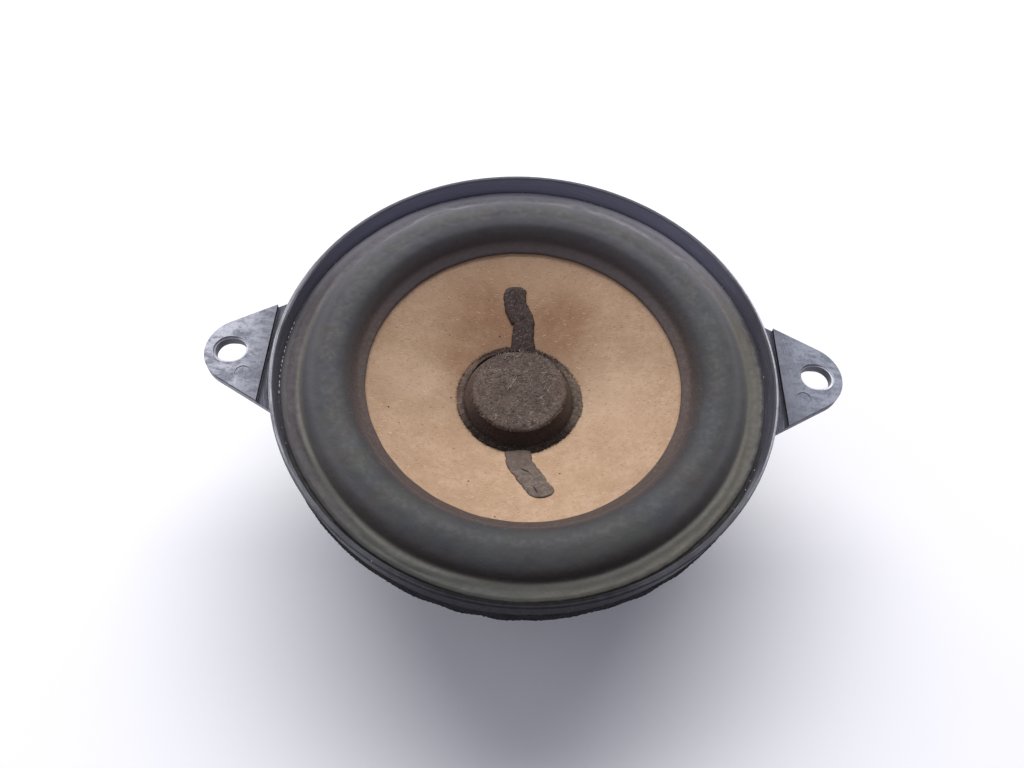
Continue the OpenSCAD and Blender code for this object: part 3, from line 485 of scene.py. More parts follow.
def cap_glue():
    """Dark, dull glue round the cap: near black in front, brown on the left and grey-green on the right."""
    m = Material("cap_glue", rough=0.8, specular=0.12)
    cloud = m.noise(1.1, 5, 0.7).step(0.35, 0.65)
    turn = m.math("ARCTAN2", m.y, m.x - CAP_X)
    left = m.mix(cloud, (84, 70, 64), (118, 101, 92))
    right = m.mix(cloud, (84, 74, 66), (120, 107, 95))
    m.colour(m.mix(m.x.step(-6, 6), left, right))
    m.paint(m.y.step(-3, -9), m.mix(cloud, (28, 22, 21), (52, 43, 39)))
    m.paint(m.y.step(7, 11), m.mix(cloud, (34, 27, 26), (74, 60, 56)))
    # darker at the cap's foot, paler and dusty at the outer edge
    spread = m.r - m.math("COSINE", turn) * CAP_X
    foot = (spread + m.noise(2.5, 4, 0.7) * 0.6).step(12.9, 12.4)
    m.paint(foot * m.y.step(4, -6, 0.35, 0.8), (32, 26, 24))
    hair = m.fibres(0.9, 0.05, 0.35, (0.1, 0.9, 1.6, 2.4))
    m.paint(hair * 0.55, (150, 132, 120))
    return m.finished((m.noise(2.2, 5, 0.7), 0.25), (hair, 0.06))


def glue(name, dark, light, rough, shift=0, sparkle=0, cracks_and_shade=()):
    """Glue over a lead, with painted glints as highlights, painted crack lines and, where listed, painted
    shade lines.
    A shift gives it a pattern of its own.
    """
    m = Material(name, specular=0.3)
    place = m.vector("ADD", m.at, (shift, shift, 0))
    cloud = m.noise(0.7, 5, 0.7, place)
    m.colour(m.mix(cloud.step(0.38, 0.62), dark, light))
    m.paint(m.noise(2.2, 5, 0.75, place).step(0.5, 0.66, 0, 0.8), darker(dark, 0.45))
    m.paint(m.noise(2.9, 5, 0.75, place).step(0.58, 0.7, 0, 0.6), (140, 126, 118))
    m.paint(abs(m.y).step(20, 15, 0, 0.65), dark)
    # painted highlights: small pale glints, as strong as sparkle says
    glints = m.noise(2.4, 4, 0.8, place).step(0.56, 0.62) * m.noise(0.9, 3, 0.6, place).step(0.42, 0.56)
    m.paint(glints * sparkle, (178, 166, 164))
    # dark marks: crack lines, and lines of painted shade where the list gives them
    for x, y, length, width, angle in cracks_and_shade:
        off = m.vector("SUBTRACT", m.at, (x, y, 0))
        off = m.vector("MULTIPLY", m.turned(-angle, at=off), (1 / length, 1 / width, 0))
        dark_mark = m.vector("DISTANCE", off, (0, 0, 0)).step(0.75, 1, 1, 0)
        m.paint(dark_mark, (24, 18, 18))
    m.roughness(cloud.step(0.3, 0.7, rough, rough + 0.2))
    return m.finished((m.noise(1.8, 5, 0.7, place), 0.2))


def foam():
    m = Material("gasket_foam", rough=0.95, specular=0.15)
    pores = m.cells(3.2)[0]
    m.colour(m.mix(pores.step(0.1, 0.5), (14, 13, 15), (38, 36, 42)))
    return m.finished((pores, 0.25), (m.noise(1.2, 4), 0.2))


def metal(name, light, dark, rough, brushed=0):
    """Dull metal with blotches and stains, and with turned rings where brushed gives their scale."""
    m = Material(name, metallic=1)
    blotch = m.noise(0.12, 6, 0.7)
    m.colour(m.mix(blotch.step(0.3, 0.75, 0, 0.8), light, dark))
    stain = m.noise(1.8, 6, 0.8).step(0.55, 0.8, 0, 0.3)
    m.paint(stain, darker(dark, 0.55))
    m.roughness(blotch.step(0.3, 0.7, rough, rough + 0.18))
    layers = [(m.noise(3, 3), 0.015)]
    if brushed:
        rings = m.add("ShaderNodeTexNoise", {"W": m.r, "Scale": brushed}, noise_dimensions="1D")
        layers.append((rings.outputs["Fac"], 0.01))
    return m.finished(*layers, bevel=0.12)


def ferrite():
    m = Material("ferrite", specular=0.4)
    grain = m.noise(4, 5, 0.8)
    m.colour(m.mix(grain.step(0.35, 0.7), (46, 46, 50), (66, 65, 68)))
    m.paint(m.specks(0.8, 0.2, 0.12), (96, 94, 96))
    m.paint(m.edges(0.4) * 0.5, (100, 98, 98))
    m.roughness(grain.step(0.3, 0.7, 0.6, 0.8))
    return m.finished((grain, 0.04), (m.noise(0.6, 3), 0.08), bevel=0.2)


def cloth():
    m = Material("spider_cloth", rough=0.85, specular=0.25)
    pitch = 0.55
    weave = m.either(*[abs(m.math("SINE", axis * (TAU / pitch))) for axis in (m.x, m.y)])
    m.colour(m.mix(m.noise(0.5, 4).step(0.35, 0.7), (176, 138, 74), (198, 162, 96)))
    m.paint(weave.step(0.5, 0.9, 0.6, 0), (120, 84, 40))
    return m.finished((weave, 0.12))


def fibrous(name, scale, stretch, dark, light, rough, specular, bevel=0):
    """Pressed paper or board, with its fibres drawn out along one way."""
    m = Material(name, rough=rough, specular=specular)
    fibre = m.noise(scale, 5, 0.7, m.turned(0, stretch))
    m.colour(m.mix(fibre.step(0.35, 0.7), dark, light))
    return m.finished((fibre, 0.03), bevel=bevel)


def copper(name):
    """Bare wire, for the coil's leads and the tinsel cords."""
    m = Material(name, metallic=1)
    tone = m.noise(1.2, 3)
    m.colour(m.mix(tone.step(0.35, 0.7), (196, 112, 70), (158, 82, 46)))
    m.roughness(tone.step(0.3, 0.7, 0.28, 0.45))
    return m.finished((m.noise(5, 3), 0.01))


def loose_fibre():
    m = Material("loose_fibre", rough=0.8, specular=0.2)
    m.colour(m.mix(m.noise(0.8, 2).step(0.4, 0.6), (96, 84, 78), (176, 166, 158)))
    return m.material


# Dark marks on the glue over the leads: x, y, length, width and angle. They are cracks, except the near
# strip's second one, which is painted shade along its lower-left edge
FAR_CRACKS = [(-0.4, 19.2, 0.9, 0.22, 0.4), (0.3, 18, 0.8, 0.2, -0.7), (-2.2, 22.6, 0.9, 0.25, 1.2)]
NEAR_CRACKS_AND_SHADE = [(1, -18.8, 1.2, 0.24, -0.5), (3.1, -24.2, 1.2, 0.2, -1.15)]

finishes = {
    "frame_plastic": frame_plastic(),
    "surround_rubber": rubber(),
    "cone_paper": paper(),
    "cap_felt": felt(),
    "glue": cap_glue(),
    "glue_far": glue("strip_glue_far", (46, 32, 30), (74, 56, 51), 0.45, 3, 0.45, FAR_CRACKS),
    "glue_near": glue("strip_glue_near", (88, 75, 68), (118, 105, 95), 0.5, 7, 0.3, NEAR_CRACKS_AND_SHADE),
    "glue_seat": glue("seat_glue", (232, 230, 226), (250, 249, 246), 0.35, 11),
    "gasket_foam": foam(),
    "plate_steel": metal("plate_steel", (176, 172, 160), (150, 142, 120), 0.34, brushed=2),
    "rivet_steel": metal("rivet_steel", (168, 166, 162), (130, 126, 118), 0.4),
    "ferrite": ferrite(),
    "spider_cloth": cloth(),
    "tag_board": fibrous("tag_board", 1, (3, 0.5, 3), (120, 74, 40), (150, 98, 58), 0.6, 0.4, 0.1),
    "terminal_brass": metal("terminal_tin", (186, 180, 160), (158, 146, 112), 0.32),
    "solder": metal("solder", (170, 170, 172), (130, 130, 132), 0.28),
    "tinsel": copper("tinsel"),
    "former_paper": fibrous("former_paper", 3, (1, 1, 0.3), (150, 112, 70), (176, 138, 92), 0.8, 0.25),
    "copper": copper("copper_wire"),
    "eyelet_brass": metal("eyelet_brass", (190, 160, 92), (150, 118, 62), 0.35),
    "fibre": loose_fibre(),
}


# Pieces

def placed(name, data):
    """A new object in the scene."""
    item = bpy.data.objects.new(name, data)
    bpy.context.scene.collection.objects.link(item)
    return item


def piece(name, verts, faces, finish, slot, body=None, replaces=(), sharp=50):
    """A mesh object from points in mm."""
    mesh = bpy.data.meshes.new(name)
    mesh.from_pydata([[c * MM for c in v] for v in verts], [], faces)
    mesh.validate()
    mesh.shade_smooth()
    mesh.set_sharp_from_angle(angle=math.radians(sharp))
    mesh.materials.append(finishes[finish])
    item = placed(name, mesh)
    if body:
        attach(item, body)
    if replaces:
        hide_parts(*replaces)
    return item


def ripple(theta, along, seed, count, turns, reach):
    """A random height of about 1 that closes round the axis: waves that also run along the profile.
    turns is the least and the most waves in one turn, and reach their length along the profile."""
    rng = np.random.default_rng(seed)
    total = np.zeros(np.broadcast(theta, along).shape)
    for _ in range(count):
        waves = rng.integers(turns[0], turns[1] + 1)
        slant = TAU * rng.uniform(-1, 1) / reach
        total = total + rng.uniform(0.4, 1) * np.sin(waves * theta + slant * along + rng.uniform(0, TAU))
    return total / math.sqrt(count / 2)


def turned_piece(name, profile, segments, finish, slot, shape, shift=None, **more):
    """A closed profile turned round Z. shape(r, z, theta) moves the points and gives their new r and z.
    shift = (off, bottom, top) sets them off the axis. There they follow the cone's face below the bottom,
    and stay level above the top."""
    theta = np.linspace(0, TAU, segments, endpoint=False)[:, None]
    r, z = (np.array(c, float)[None, :] + 0 * theta for c in zip(*profile))
    r, z = shape(r, z, theta)
    x, y = r * np.cos(theta), r * np.sin(theta)
    if shift:
        x = x + shift[0]
        z = z + CONE_SLOPE * (np.hypot(x, y) - r) * (1 - smooth(z, *shift[1:]))
    count = len(profile)
    faces = [[a * count + i, b * count + i, b * count + j, a * count + j]
             for a in range(segments) for b in [(a + 1) % segments]
             for i in range(count) for j in [(i + 1) % count]]
    return piece(name, np.stack([x, y, z], axis=-1).reshape(-1, 3), faces, finish, slot, **more)


def run_along(path):
    """How far along a path each of its points lies."""
    return np.concatenate([[0], np.cumsum(np.linalg.norm(np.diff(path, axis=0), axis=1))])


def unit(vectors):
    return vectors / np.linalg.norm(vectors, axis=-1, keepdims=True)


def line(a, b, steps):
    """Points from a to b, without b."""
    return [(a[0] + (b[0] - a[0]) * i / steps, a[1] + (b[1] - a[1]) * i / steps) for i in range(steps)]


def arc(centre, radius, start, end, steps):
    return [(centre[0] + radius * math.cos(math.radians(start + (end - start) * i / steps)),
             centre[1] + radius * math.sin(math.radians(start + (end - start) * i / steps)))
            for i in range(steps + 1)]


def soften(points, reach):
    """An open line with its corners rounded off over a reach, as points about 0.2 mm apart."""
    x, y = np.array(points, float).T
    run = run_along(points)
    s = np.linspace(0, run[-1], round(run[-1] / 0.2))
    room = np.minimum(np.minimum(s, run[-1] - s), reach)
    shifts = [s + room * d for d in np.linspace(-1, 1, 9)]
    return list(zip(*(sum(np.interp(t, run, c) for t in shifts) / 9 for c in (x, y))))


def radial_blend(item, inside, outside):
    """Bakes the piece's transform, and works out from each point's radius a share that falls from 1 inside
    one radius to 0 outside the other; the share is not used.
    """
    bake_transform(item)
    points = np.array([v.co for v in item.data.vertices])
    radius = np.hypot(points[:, X], points[:, Y]) / MM
    1 - smooth(radius, inside, outside)


def surround():
    chord = Vector((FOOT_OUT_R - FOOT_IN_R, FLANGE_Z - FOOT_IN_Z))
    tilt = math.atan2(chord.y, chord.x)
    roll_r = (chord.length ** 2 / 4 + ROLL_H ** 2) / (2 * ROLL_H)
    drop = ROLL_H - roll_r
    centre = (FOOT_IN_R + chord.x / 2 - drop * math.sin(tilt),
              FOOT_IN_Z + chord.y / 2 + drop * math.cos(tilt))
    half = math.degrees(math.acos((roll_r - ROLL_H) / roll_r))
    start = 90 + math.degrees(tilt) - half
    inner_z = face_z(CONE_EDGE_R) + 0.3
    steps, foot_turn = 40, 8
    under = arc(centre, roll_r, start, start + 2 * half, steps)
    above = arc(centre, roll_r + RUBBER_T, start + 2 * half - foot_turn, start + foot_turn, steps)
    inner_top, flange_top = inner_z + RUBBER_T, FLANGE_Z + RUBBER_T
    # one turn of the profile: the lower side inwards, the inner edge, then the upper side outwards
    profile = (soften([(FLANGE_EDGE_R, FLANGE_Z)] + under + [(CONE_EDGE_R, inner_z)], 1.1)
               + [(CONE_EDGE_R - 0.05, inner_z + RUBBER_T / 2)]
               + soften([(CONE_EDGE_R + 0.12, inner_top)] + above
                        + [(FOOT_OUT_R + RUBBER_T, flange_top), (FLANGE_EDGE_R - 0.35, flange_top),
                           (FLANGE_EDGE_R - 0.05, FLANGE_Z + 0.12)], 0.6))

    def shape(r, z, theta):
        on_roll = smooth(r, 35.5, 38) * (1 - smooth(r, 43, 45))
        sag = 0.14 * ripple(theta, r, 3, 10, (2, 11), 14) + 0.03 * ripple(theta, r, 4, 14, (12, 60), 5)
        rim = 0.035 * ripple(theta, 0, 5, 12, (3, 30), 9) * (1 - smooth(r, 33, 34.5))
        flat = 0.04 * ripple(theta, r, 6, 12, (8, 50), 4) * smooth(r, 46, 47)
        # a low ridge on the flange, lower on the far side
        crest = 46.2 + 0.35 * ripple(theta, 0, 9, 6, (2, 9), 9)
        tall = 0.2 + 0.08 * ripple(theta, 0, 10, 6, (2, 8), 9)
        tall = tall * (1 - 0.6 * smooth(np.sin(theta), 0.2, 0.8))
        ridge = tall * np.exp(-((r - crest) / 0.7) ** 2) * smooth(z, FLANGE_Z + 0.3, FLANGE_Z + 0.55)
        # the flange's cut edge is uneven, and falls short of the lip on the near side
        cut = 0.07 * ripple(theta, 0, 7, 10, (2, 14), 9) + 0.03 * ripple(theta, 0, 8, 24, (30, 160), 9)
        cut = cut * smooth(r, 48, 49)
        short = 0.75 * smooth(-np.sin(theta), 0.1, 0.8) * smooth(r, 47, 49)
        return r + rim + cut - short, z + sag * on_roll + flat + ridge

    item = turned_piece("rubber_surround", profile, 384, "surround_rubber", "surround_rubber", shape,
                        replaces=["surround"])
    radial_blend(item, CONE_R, FOOT_OUT_R)


def cone():
    neck_r = NECK_IN_R + PAPER_T
    edge, under_edge = (CONE_R, face_z(CONE_R)), (CONE_R, face_z(CONE_R) - PAPER_T)
    under_neck = (neck_r, face_z(neck_r) - PAPER_T)
    profile = (line((NECK_IN_R, face_z(NECK_IN_R)), edge, 70) + [edge]
               + line(under_edge, under_neck, 40) + [under_neck, (neck_r, NECK_Z), (NECK_IN_R, NECK_Z)])

    def shape(r, z, theta):
        free = smooth(r, 13, 17) * (1 - smooth(r, 31.5, 33))
        return r, z + free * (0.05 * ripple(theta, r, 11, 12, (2, 12), 9)
                              + 0.02 * ripple(theta, r, 12, 16, (14, 70), 3))

    turned_piece("paper_cone", profile, 320, "cone_paper", "cone_paper", shape, body="cone_assembly",
                 replaces=["cone"])


def dust_cap():
    edge_r, middle_r = 0.38, 0.02
    foot = (CAP_FOOT_R, face_z(CAP_FOOT_R) + CAP_LIFT)
    inner_foot = (foot[0] - CAP_T, foot[1] - CAP_T * CONE_SLOPE)
    inner_edge, inner_middle = (CAP_TOP_R - CAP_T, CAP_Z - CAP_T), (middle_r, CAP_Z - CAP_T)
    edge = arc((CAP_TOP_R - edge_r, CAP_Z - edge_r), edge_r, 90, 20, 7)
    profile = (line((middle_r, CAP_Z), edge[0], 26) + edge + line(edge[-1], foot, 10)[1:]
               + [foot, inner_foot] + line(inner_foot, inner_edge, 6)[1:]
               + line(inner_edge, inner_middle, 8) + [inner_middle])

    def shape(r, z, theta):
        upper = smooth(z, 28.5, 30.5)
        uneven = 0.11 * ripple(theta, 0, 21, 5, (2, 6), 9) + 0.045 * ripple(theta, z, 22, 14, (12, 60), 2)
        r = r + upper * smooth(r, 7, 10) * uneven
        lumps = 0.045 * ripple(theta, 2 * r, 23, 20, (2, 9), 3)
        lumps = lumps + 0.02 * ripple(theta, 2 * r, 24, 24, (10, 40), 1)
        return r, z + upper * lumps * smooth(r, 0.3, 3)

    turned_piece("felt_dust_cap", profile, 256, "cap_felt", "cap_felt", shape, (CAP_X, 27.5, 30.5),
                 body="cone_assembly", replaces=["dust_cap"], sharp=70)


def glue_ring():
    """The fillet of glue. Its profile has marks in place of heights: 1 is on the fillet, less is inside."""
    steps, inside = 14, 0.5
    under_r = CAP_FOOT_R - CAP_T
    # one turn of the profile: up the inside, then down the fillet to the outer edge
    profile = [(under_r, 0.0), (under_r, inside)] + [(RING_IN_R + i / steps, 1.0) for i in range(steps + 1)]

    def shape(r, z, theta):
        out_r = (RING_R - 0.6 + 0.14 * ripple(theta, 0, 31, 9, (3, 14), 9)
                 + 0.12 * ripple(theta, 0, 32, 30, (20, 150), 9)
                 + 0.7 * np.exp(-((theta + 0.1 + math.pi) % TAU - math.pi) ** 2 / 0.3))
        # a rope of glue runs round the upper left into the far strip
        tall = (1.25 + 0.16 * ripple(theta, 0, 33, 8, (2, 12), 9)
                + 0.7 * smooth(theta, 1.3, 1.6) * (1 - smooth(theta, 2.3, 2.8)))
        share = np.clip(r - RING_IN_R, 0, 1)
        outer = z > inside
        start = RING_IN_R - 0.02
        radius = np.where(outer, start + (out_r - start) * share, r)
        fillet = 0.06 + (tall - 0.06) * (1 - share) ** 1.7 + 0.22 * np.sin(np.pi * share)
        fillet = fillet * np.sqrt(np.clip(1.02 - share ** 8, 0, 1))
        lumps = 0.05 * ripple(theta, 3 * share, 34, 20, (8, 60), 1)
        height = np.where(outer, fillet + lumps * (1 - share), 0.35 * z / inside)
        return radius, face_z(radius) + FIT + np.maximum(height, 0)

    turned_piece("glue_fillet", profile, 360, "glue", "glue", shape, (CAP_X, 40, 41),
                 body="cone_assembly", replaces=["cap_glue_ring"], sharp=60)


def strip(name, node, finish, route, width, thick, seed):
    """A strip of glue along a route over the face of the cone, with a wavering edge and a rounded end."""
    along, across = 72, 28
    rng = np.random.default_rng(seed)
    path = np.array(route, float)
    shares = run_along(path) / run_along(path)[-1]

    def at(s):
        s = np.clip(s, 0, 1)
        return np.stack([sum(np.interp(s + d, shares, path[:, axis]) for d in (-0.05, 0, 0.05)) / 3
                         for axis in (X, Y)], -1)

    s = np.linspace(0, 1, along + 1)
    way = unit(at(s + 0.02) - at(s - 0.02))
    left = np.stack([-way[:, 1], way[:, 0]], -1)
    end = np.sqrt(np.clip(1.03 - ((s - 0.84) / 0.16).clip(0) ** 2.4, 0.0, 1))
    # each edge wavers by waves of (height, number along the strip)
    wavers = ((0.16, 0.7), (0.12, 1.9), (0.07, 3.7), (0.05, 6.1), (0.035, 9.7), (0.03, 14.0))
    sides = [(width / 2 + sum(tall * np.sin(TAU * often * s + phase)
                              for (tall, often), phase in zip(wavers, phases))) * end
             for phases in rng.uniform(0, TAU, (2, len(wavers)))]
    v = np.linspace(-1, 1, across + 1)[None, :]
    reach = np.where(v < 0, sides[0][:, None], sides[1][:, None]) * v
    plan = at(s)[:, None, :] + left[:, None, :] * reach[..., None]
    waves = sum(rng.uniform(0.5, 1) * np.sin(plan[..., 0] * kx + plan[..., 1] * ky + phase)
                for kx, ky, phase in rng.uniform((-5, -5, 0), (5, 5, TAU), (18, 3))) / 4
    height = (0.05 + thick * np.clip(1 - v ** 4, 0, 1) ** 0.5 * np.sqrt(end)[:, None]
              + 0.06 * waves * (1 - v ** 2))
    radius = np.hypot(plan[..., 0], plan[..., 1])
    base = face_z(radius) + FIT
    top = np.concatenate([plan, (base + np.maximum(height, 0.03))[..., None]], -1).reshape(-1, 3)
    bottom = np.concatenate([plan, (base - 0.02)[..., None]], -1).reshape(-1, 3)
    row = across + 1
    count = (along + 1) * row
    faces = []
    for i in range(along):
        for j in range(across):
            a, b = i * row + j, (i + 1) * row + j
            faces += [[a, b, b + 1, a + 1][::-1], [count + a, count + b, count + b + 1, count + a + 1]]
    rim = ([i * row for i in range(along)] + [along * row + j for j in range(across)]
           + [i * row + across for i in range(along, 0, -1)] + list(range(across, 0, -1)))
    faces += [[a, b, count + b, count + a] for a, b in zip(rim, rim[1:] + rim[:1])]
    piece(name, np.concatenate([top, bottom]), faces, finish, "glue", body="cone_assembly",
          replaces=[node], sharp=60)


def gasket():
    edge_r = 0.5
    profile = (line((GASKET_IN_R, GASKET_Z), (GASKET_R - edge_r, GASKET_Z), 3)
               + arc((GASKET_R - edge_r, GASKET_Z + edge_r), edge_r, -90, 0, 4)[:-1]
               + line((GASKET_R, GASKET_Z + edge_r), (GASKET_R, GASKET_TOP - 0.3), 9)
               + [(GASKET_R - 0.1, GASKET_TOP), (GASKET_IN_R, GASKET_TOP)])

    def shape(r, z, theta):
        free = smooth(r, 49, 50.2)
        rough = 0.05 * ripple(theta, z, 41, 60, (200, 440), 0.8) + 0.1 * ripple(theta, z, 42, 14, (5, 60), 4)
        under = 0.05 * ripple(theta, r, 43, 40, (120, 440), 1) + 0.06 * ripple(theta, r, 44, 12, (5, 60), 4)
        return r + free * rough, z + np.maximum(under, -0.12) * (1 - smooth(z, GASKET_Z, GASKET_Z + 1))

    turned_piece("foam_gasket", profile, 1080, "gasket_foam", "gasket_foam", shape, body="frame",
                 replaces=["rear_gasket"])


def spider():
    steps = 24 * SPIDER_WAVES
    span = SPIDER_OUT_R - SPIDER_IN_R
    lower = [(SPIDER_IN_R + span * i / steps,
              SPIDER_Z - SPIDER_WAVE_H * (1 - math.cos(TAU * SPIDER_WAVES * i / steps)) / 2)
             for i in range(steps + 1)]
    upper = [(r, z + CLOTH_T) for r, z in reversed(lower)]
    foot, top = SPIDER_Z - SPIDER_COLLAR_H, SPIDER_Z + CLOTH_T
    collar_r = SPIDER_COLLAR_R + CLOTH_T
    profile = ([(SPIDER_COLLAR_R, foot), (collar_r, foot), (collar_r, SPIDER_Z)] + lower
               + line((SPIDER_OUT_R, SPIDER_Z), (SPIDER_R, SPIDER_Z), 4)[1:] + [(SPIDER_R, SPIDER_Z)]
               + line((SPIDER_R, top), (SPIDER_OUT_R, top), 4) + upper + [(SPIDER_COLLAR_R, top)])

    def shape(r, z, theta):
        free = smooth(r, 11, 12.5) * (1 - smooth(r, 23.5, 24.4))
        return r, z + free * 0.04 * ripple(theta, r, 51, 12, (3, 24), 6)

    item = turned_piece("cloth_spider", profile, 288, "spider_cloth", "spider_cloth", shape,
                        replaces=["spider"])
    radial_blend(item, SPIDER_IN_R, SPIDER_OUT_R)


def sleeve(base, rings, sides):
    """Faces that join rings of points, from the point with the number base on."""
    return [[a + j, a + k, a + sides + k, a + sides + j]
            for a in range(base, base + (rings - 1) * sides, sides)
            for j in range(sides) for k in [(j + 1) % sides]]


def tube(verts, faces, path, radius, sides):
    """Adds one closed tube along a path to verts and faces."""
    path = np.array(path, float)
    ways = unit(np.gradient(path, axis=0))
    u = unit(np.cross(ways, (1, 0.1, 0.2)))
    w = np.cross(ways, u)
    base = len(verts)
    for i, point in enumerate(path):
        for j in range(sides):
            a = TAU * j / sides
            verts.append(point + radius * (math.cos(a) * u[i] + math.sin(a) * w[i]))
    faces += sleeve(base, len(path), sides)
    faces.append([base + j for j in reversed(range(sides))])
    faces.append([base + (len(path) - 1) * sides + j for j in range(sides)])


def tinsel(name, node, eyelet, side):
    """A soft lead of twisted strands from an eyelet to its terminal."""
    x, y = eyelet[0] * side, eyelet[1] * side
    r = math.hypot(x, y)
    normal = unit(np.array((-CONE_SLOPE * x / r, -CONE_SLOPE * y / r, 1)))
    top = np.array((x, y, face_z(r))) - 1.35 * normal
    end = np.array((0, LUG_Y - SOLDER_H - 0.1, TERMINAL_TOP))
    bent = end - (0, 0.6, 0)
    # a Bezier curve, and then a straight stub in the solder
    t = np.linspace(0, 1, 90)[:, None]
    path = ((1 - t) ** 3 * top + 3 * t * (1 - t) ** 2 * (top - 7 * normal)
            + 3 * t * t * (1 - t) * (bent - (0, 3.5, 3.5)) + t ** 3 * bent)
    path = np.concatenate([path, bent + np.linspace(0.2, 1, 5)[:, None] * (end - bent)])
    run = run_along(path)
    ways = unit(np.gradient(path, axis=0))
    u = unit(np.cross(ways, (1, 0, 0)))
    w = np.cross(ways, u)
    verts, faces, shares = [], [], []
    strands, pitch, lay, thin, sides = 7, 4.5, 0.34, 0.2, 6
    for s in range(strands):
        turn = TAU * (run / pitch + s / strands)
        strand = path + lay * (np.cos(turn)[:, None] * u + np.sin(turn)[:, None] * w)
        tube(verts, faces, strand, thin, sides)
        shares += [1 - a for a in run / run[-1] for _ in range(sides)]
    verts = [v * (side, side, 1) for v in verts]
    item = piece(name, verts, faces, "tinsel", "tinsel", replaces=[node])
    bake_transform(item)
    smooth(np.array(shares), 0.05, 0.95)


def loose_fibres():
    """Fibres of the felt lying on the cap's top and standing off its edge, and hairs at the glue's edge."""
    rng = np.random.default_rng(61)
    verts, faces = [], []
    for _ in range(400):
        r = CAP_TOP_R * math.sqrt(rng.uniform(0, 1)) * 0.97
        a, heading, length = rng.uniform(0, TAU), rng.normal(0.2, 0.7), rng.uniform(0.7, 2.6)
        x, y = r * math.cos(a), r * math.sin(a)
        bend = rng.uniform(-1.4, 1.4)
        path = []
        for i in range(6):
            turn = heading + bend * i / 5
            x, y = x + length / 5 * math.cos(turn), y + length / 5 * math.sin(turn)
            if math.hypot(x, y) > CAP_TOP_R - 0.3:
                break
            lift = 0.035 + 0.03 * math.sin(math.pi * i / 5) * rng.uniform(0.2, 2)
            path.append((x + CAP_X, y, CAP_Z + lift))
        if len(path) > 3:
            tube(verts, faces, path, rng.uniform(0.02, 0.036), 3)
    for _ in range(420):
        a, length = rng.uniform(0, TAU), rng.uniform(0.25, 0.8)
        r = CAP_TOP_R - 0.25
        lean, drift = rng.uniform(-0.2, 0.9), rng.uniform(-0.5, 0.5)
        path = [(CAP_X + (r + length * s * math.cos(lean)) * math.cos(a + drift * s * length / r),
                 (r + length * s * math.cos(lean)) * math.sin(a + drift * s * length / r),
                 CAP_Z - 0.22 + 0.5 * length * s * math.sin(lean)) for s in (0, 0.35, 0.7, 1)]
        tube(verts, faces, path, rng.uniform(0.015, 0.03), 3)
    piece("felt_fibres", verts, faces, "fibre", "cap_felt", body="cone_assembly")
    verts, faces = [], []
    for _ in range(900):
        a, length, drift = rng.uniform(0, TAU), rng.uniform(0.2, 0.7), rng.uniform(-1.3, 1.3)
        start = RING_R - 0.8 + 0.5 * math.exp(-((a + math.pi) % TAU - math.pi) ** 2 / 0.3)
        path = []
        for s in (0, 0.35, 0.7, 1):
            b, r = a + drift * s * length / start, start + length * s * math.cos(drift)
            x, y = CAP_X + r * math.cos(b), r * math.sin(b)
            lift = 0.1 + 0.12 * math.sin(math.pi * s) * math.cos(9 * a)
            path.append((x, y, face_z(math.hypot(x, y)) + lift))
        tube(verts, faces, path, rng.uniform(0.015, 0.03), 3)
    piece("glue_hairs", verts, faces, "glue", "glue", body="cone_assembly")


def seat_glue():
    """A row of small beads of glue at the foot of the lip on the left, and a few odd ones elsewhere."""
    rng = np.random.default_rng(71)
    verts, faces = [], []
    rings, sides = 5, 8
    row = [(math.pi - 0.17 + 0.024 * i + rng.uniform(-0.006, 0.006), 0.13,
            rng.uniform(1.4, 4.2)) for i in range(15)]
    odd = [(rng.uniform(-1, 4.1), rng.uniform(0.06, 0.11), rng.uniform(1, 1.6)) for _ in range(40)]
    for a, size, stretch in row + odd:
        r0, z0 = LIP_IN_R - rng.uniform(0.12, 0.2), FLANGE_Z + 0.12
        base = len(verts)
        radial, along = np.array((math.cos(a), math.sin(a), 0)), np.array((-math.sin(a), math.cos(a), 0))
        for i in range(rings):
            lift = math.pi / 2 * i / rings
            for j in range(sides):
                b = TAU * j / sides
                out = size * math.cos(lift) * (0.7 * math.cos(b) * radial + stretch * math.sin(b) * along)
                verts.append(radial * r0 + np.array((0, 0, z0 + size * 0.8 * math.sin(lift))) + out)
        verts.append(radial * r0 + np.array((0, 0, z0 + size * 0.82)))
        faces += sleeve(base, rings, sides)
        top = base + (rings - 1) * sides
        faces += [[top + j, top + (j + 1) % sides, base + rings * sides] for j in range(sides)]
        faces.append([base + j for j in reversed(range(sides))])
    piece("seat_glue_beads", verts, faces, "glue_seat", "glue", body="frame")


# The part

for part in frame["record"]["subparts"]:
    item = frame["nodes"][part["node"]]
    item.data.materials.clear()
    item.data.materials.append(finishes[part["material_slot"]])

# Where the glue strips run in the plan, from the cap outwards
FAR_ROUTE = [(-0.2, 12.4), (-0.15, 16.5), (-0.3, 19.2), (-1.9, 20.9), (-2.4, 23.4), (-2.7, 26.1)]
NEAR_ROUTE = [(-0.7, -12.6), (0.2, -17.05), (1.5, -19.45), (3.0, -21.85), (4.2, -24.13), (4.9, -26.2)]

surround()
cone()
dust_cap()
glue_ring()
strip("lead_glue_strip_far", "lead_glue_far", "glue_far", FAR_ROUTE, width=5.3, thick=0.55, seed=81)
strip("lead_glue_strip_near", "lead_glue_near", "glue_near", NEAR_ROUTE, width=5.4, thick=0.5, seed=82)
gasket()
spider()
tinsel("tinsel_cord_positive", "tinsel_lead_positive", EYELET_FAR, 1)
tinsel("tinsel_cord_negative", "tinsel_lead_negative", EYELET_NEAR, -1)
loose_fibres()
seat_glue()

# Floor, light and camera

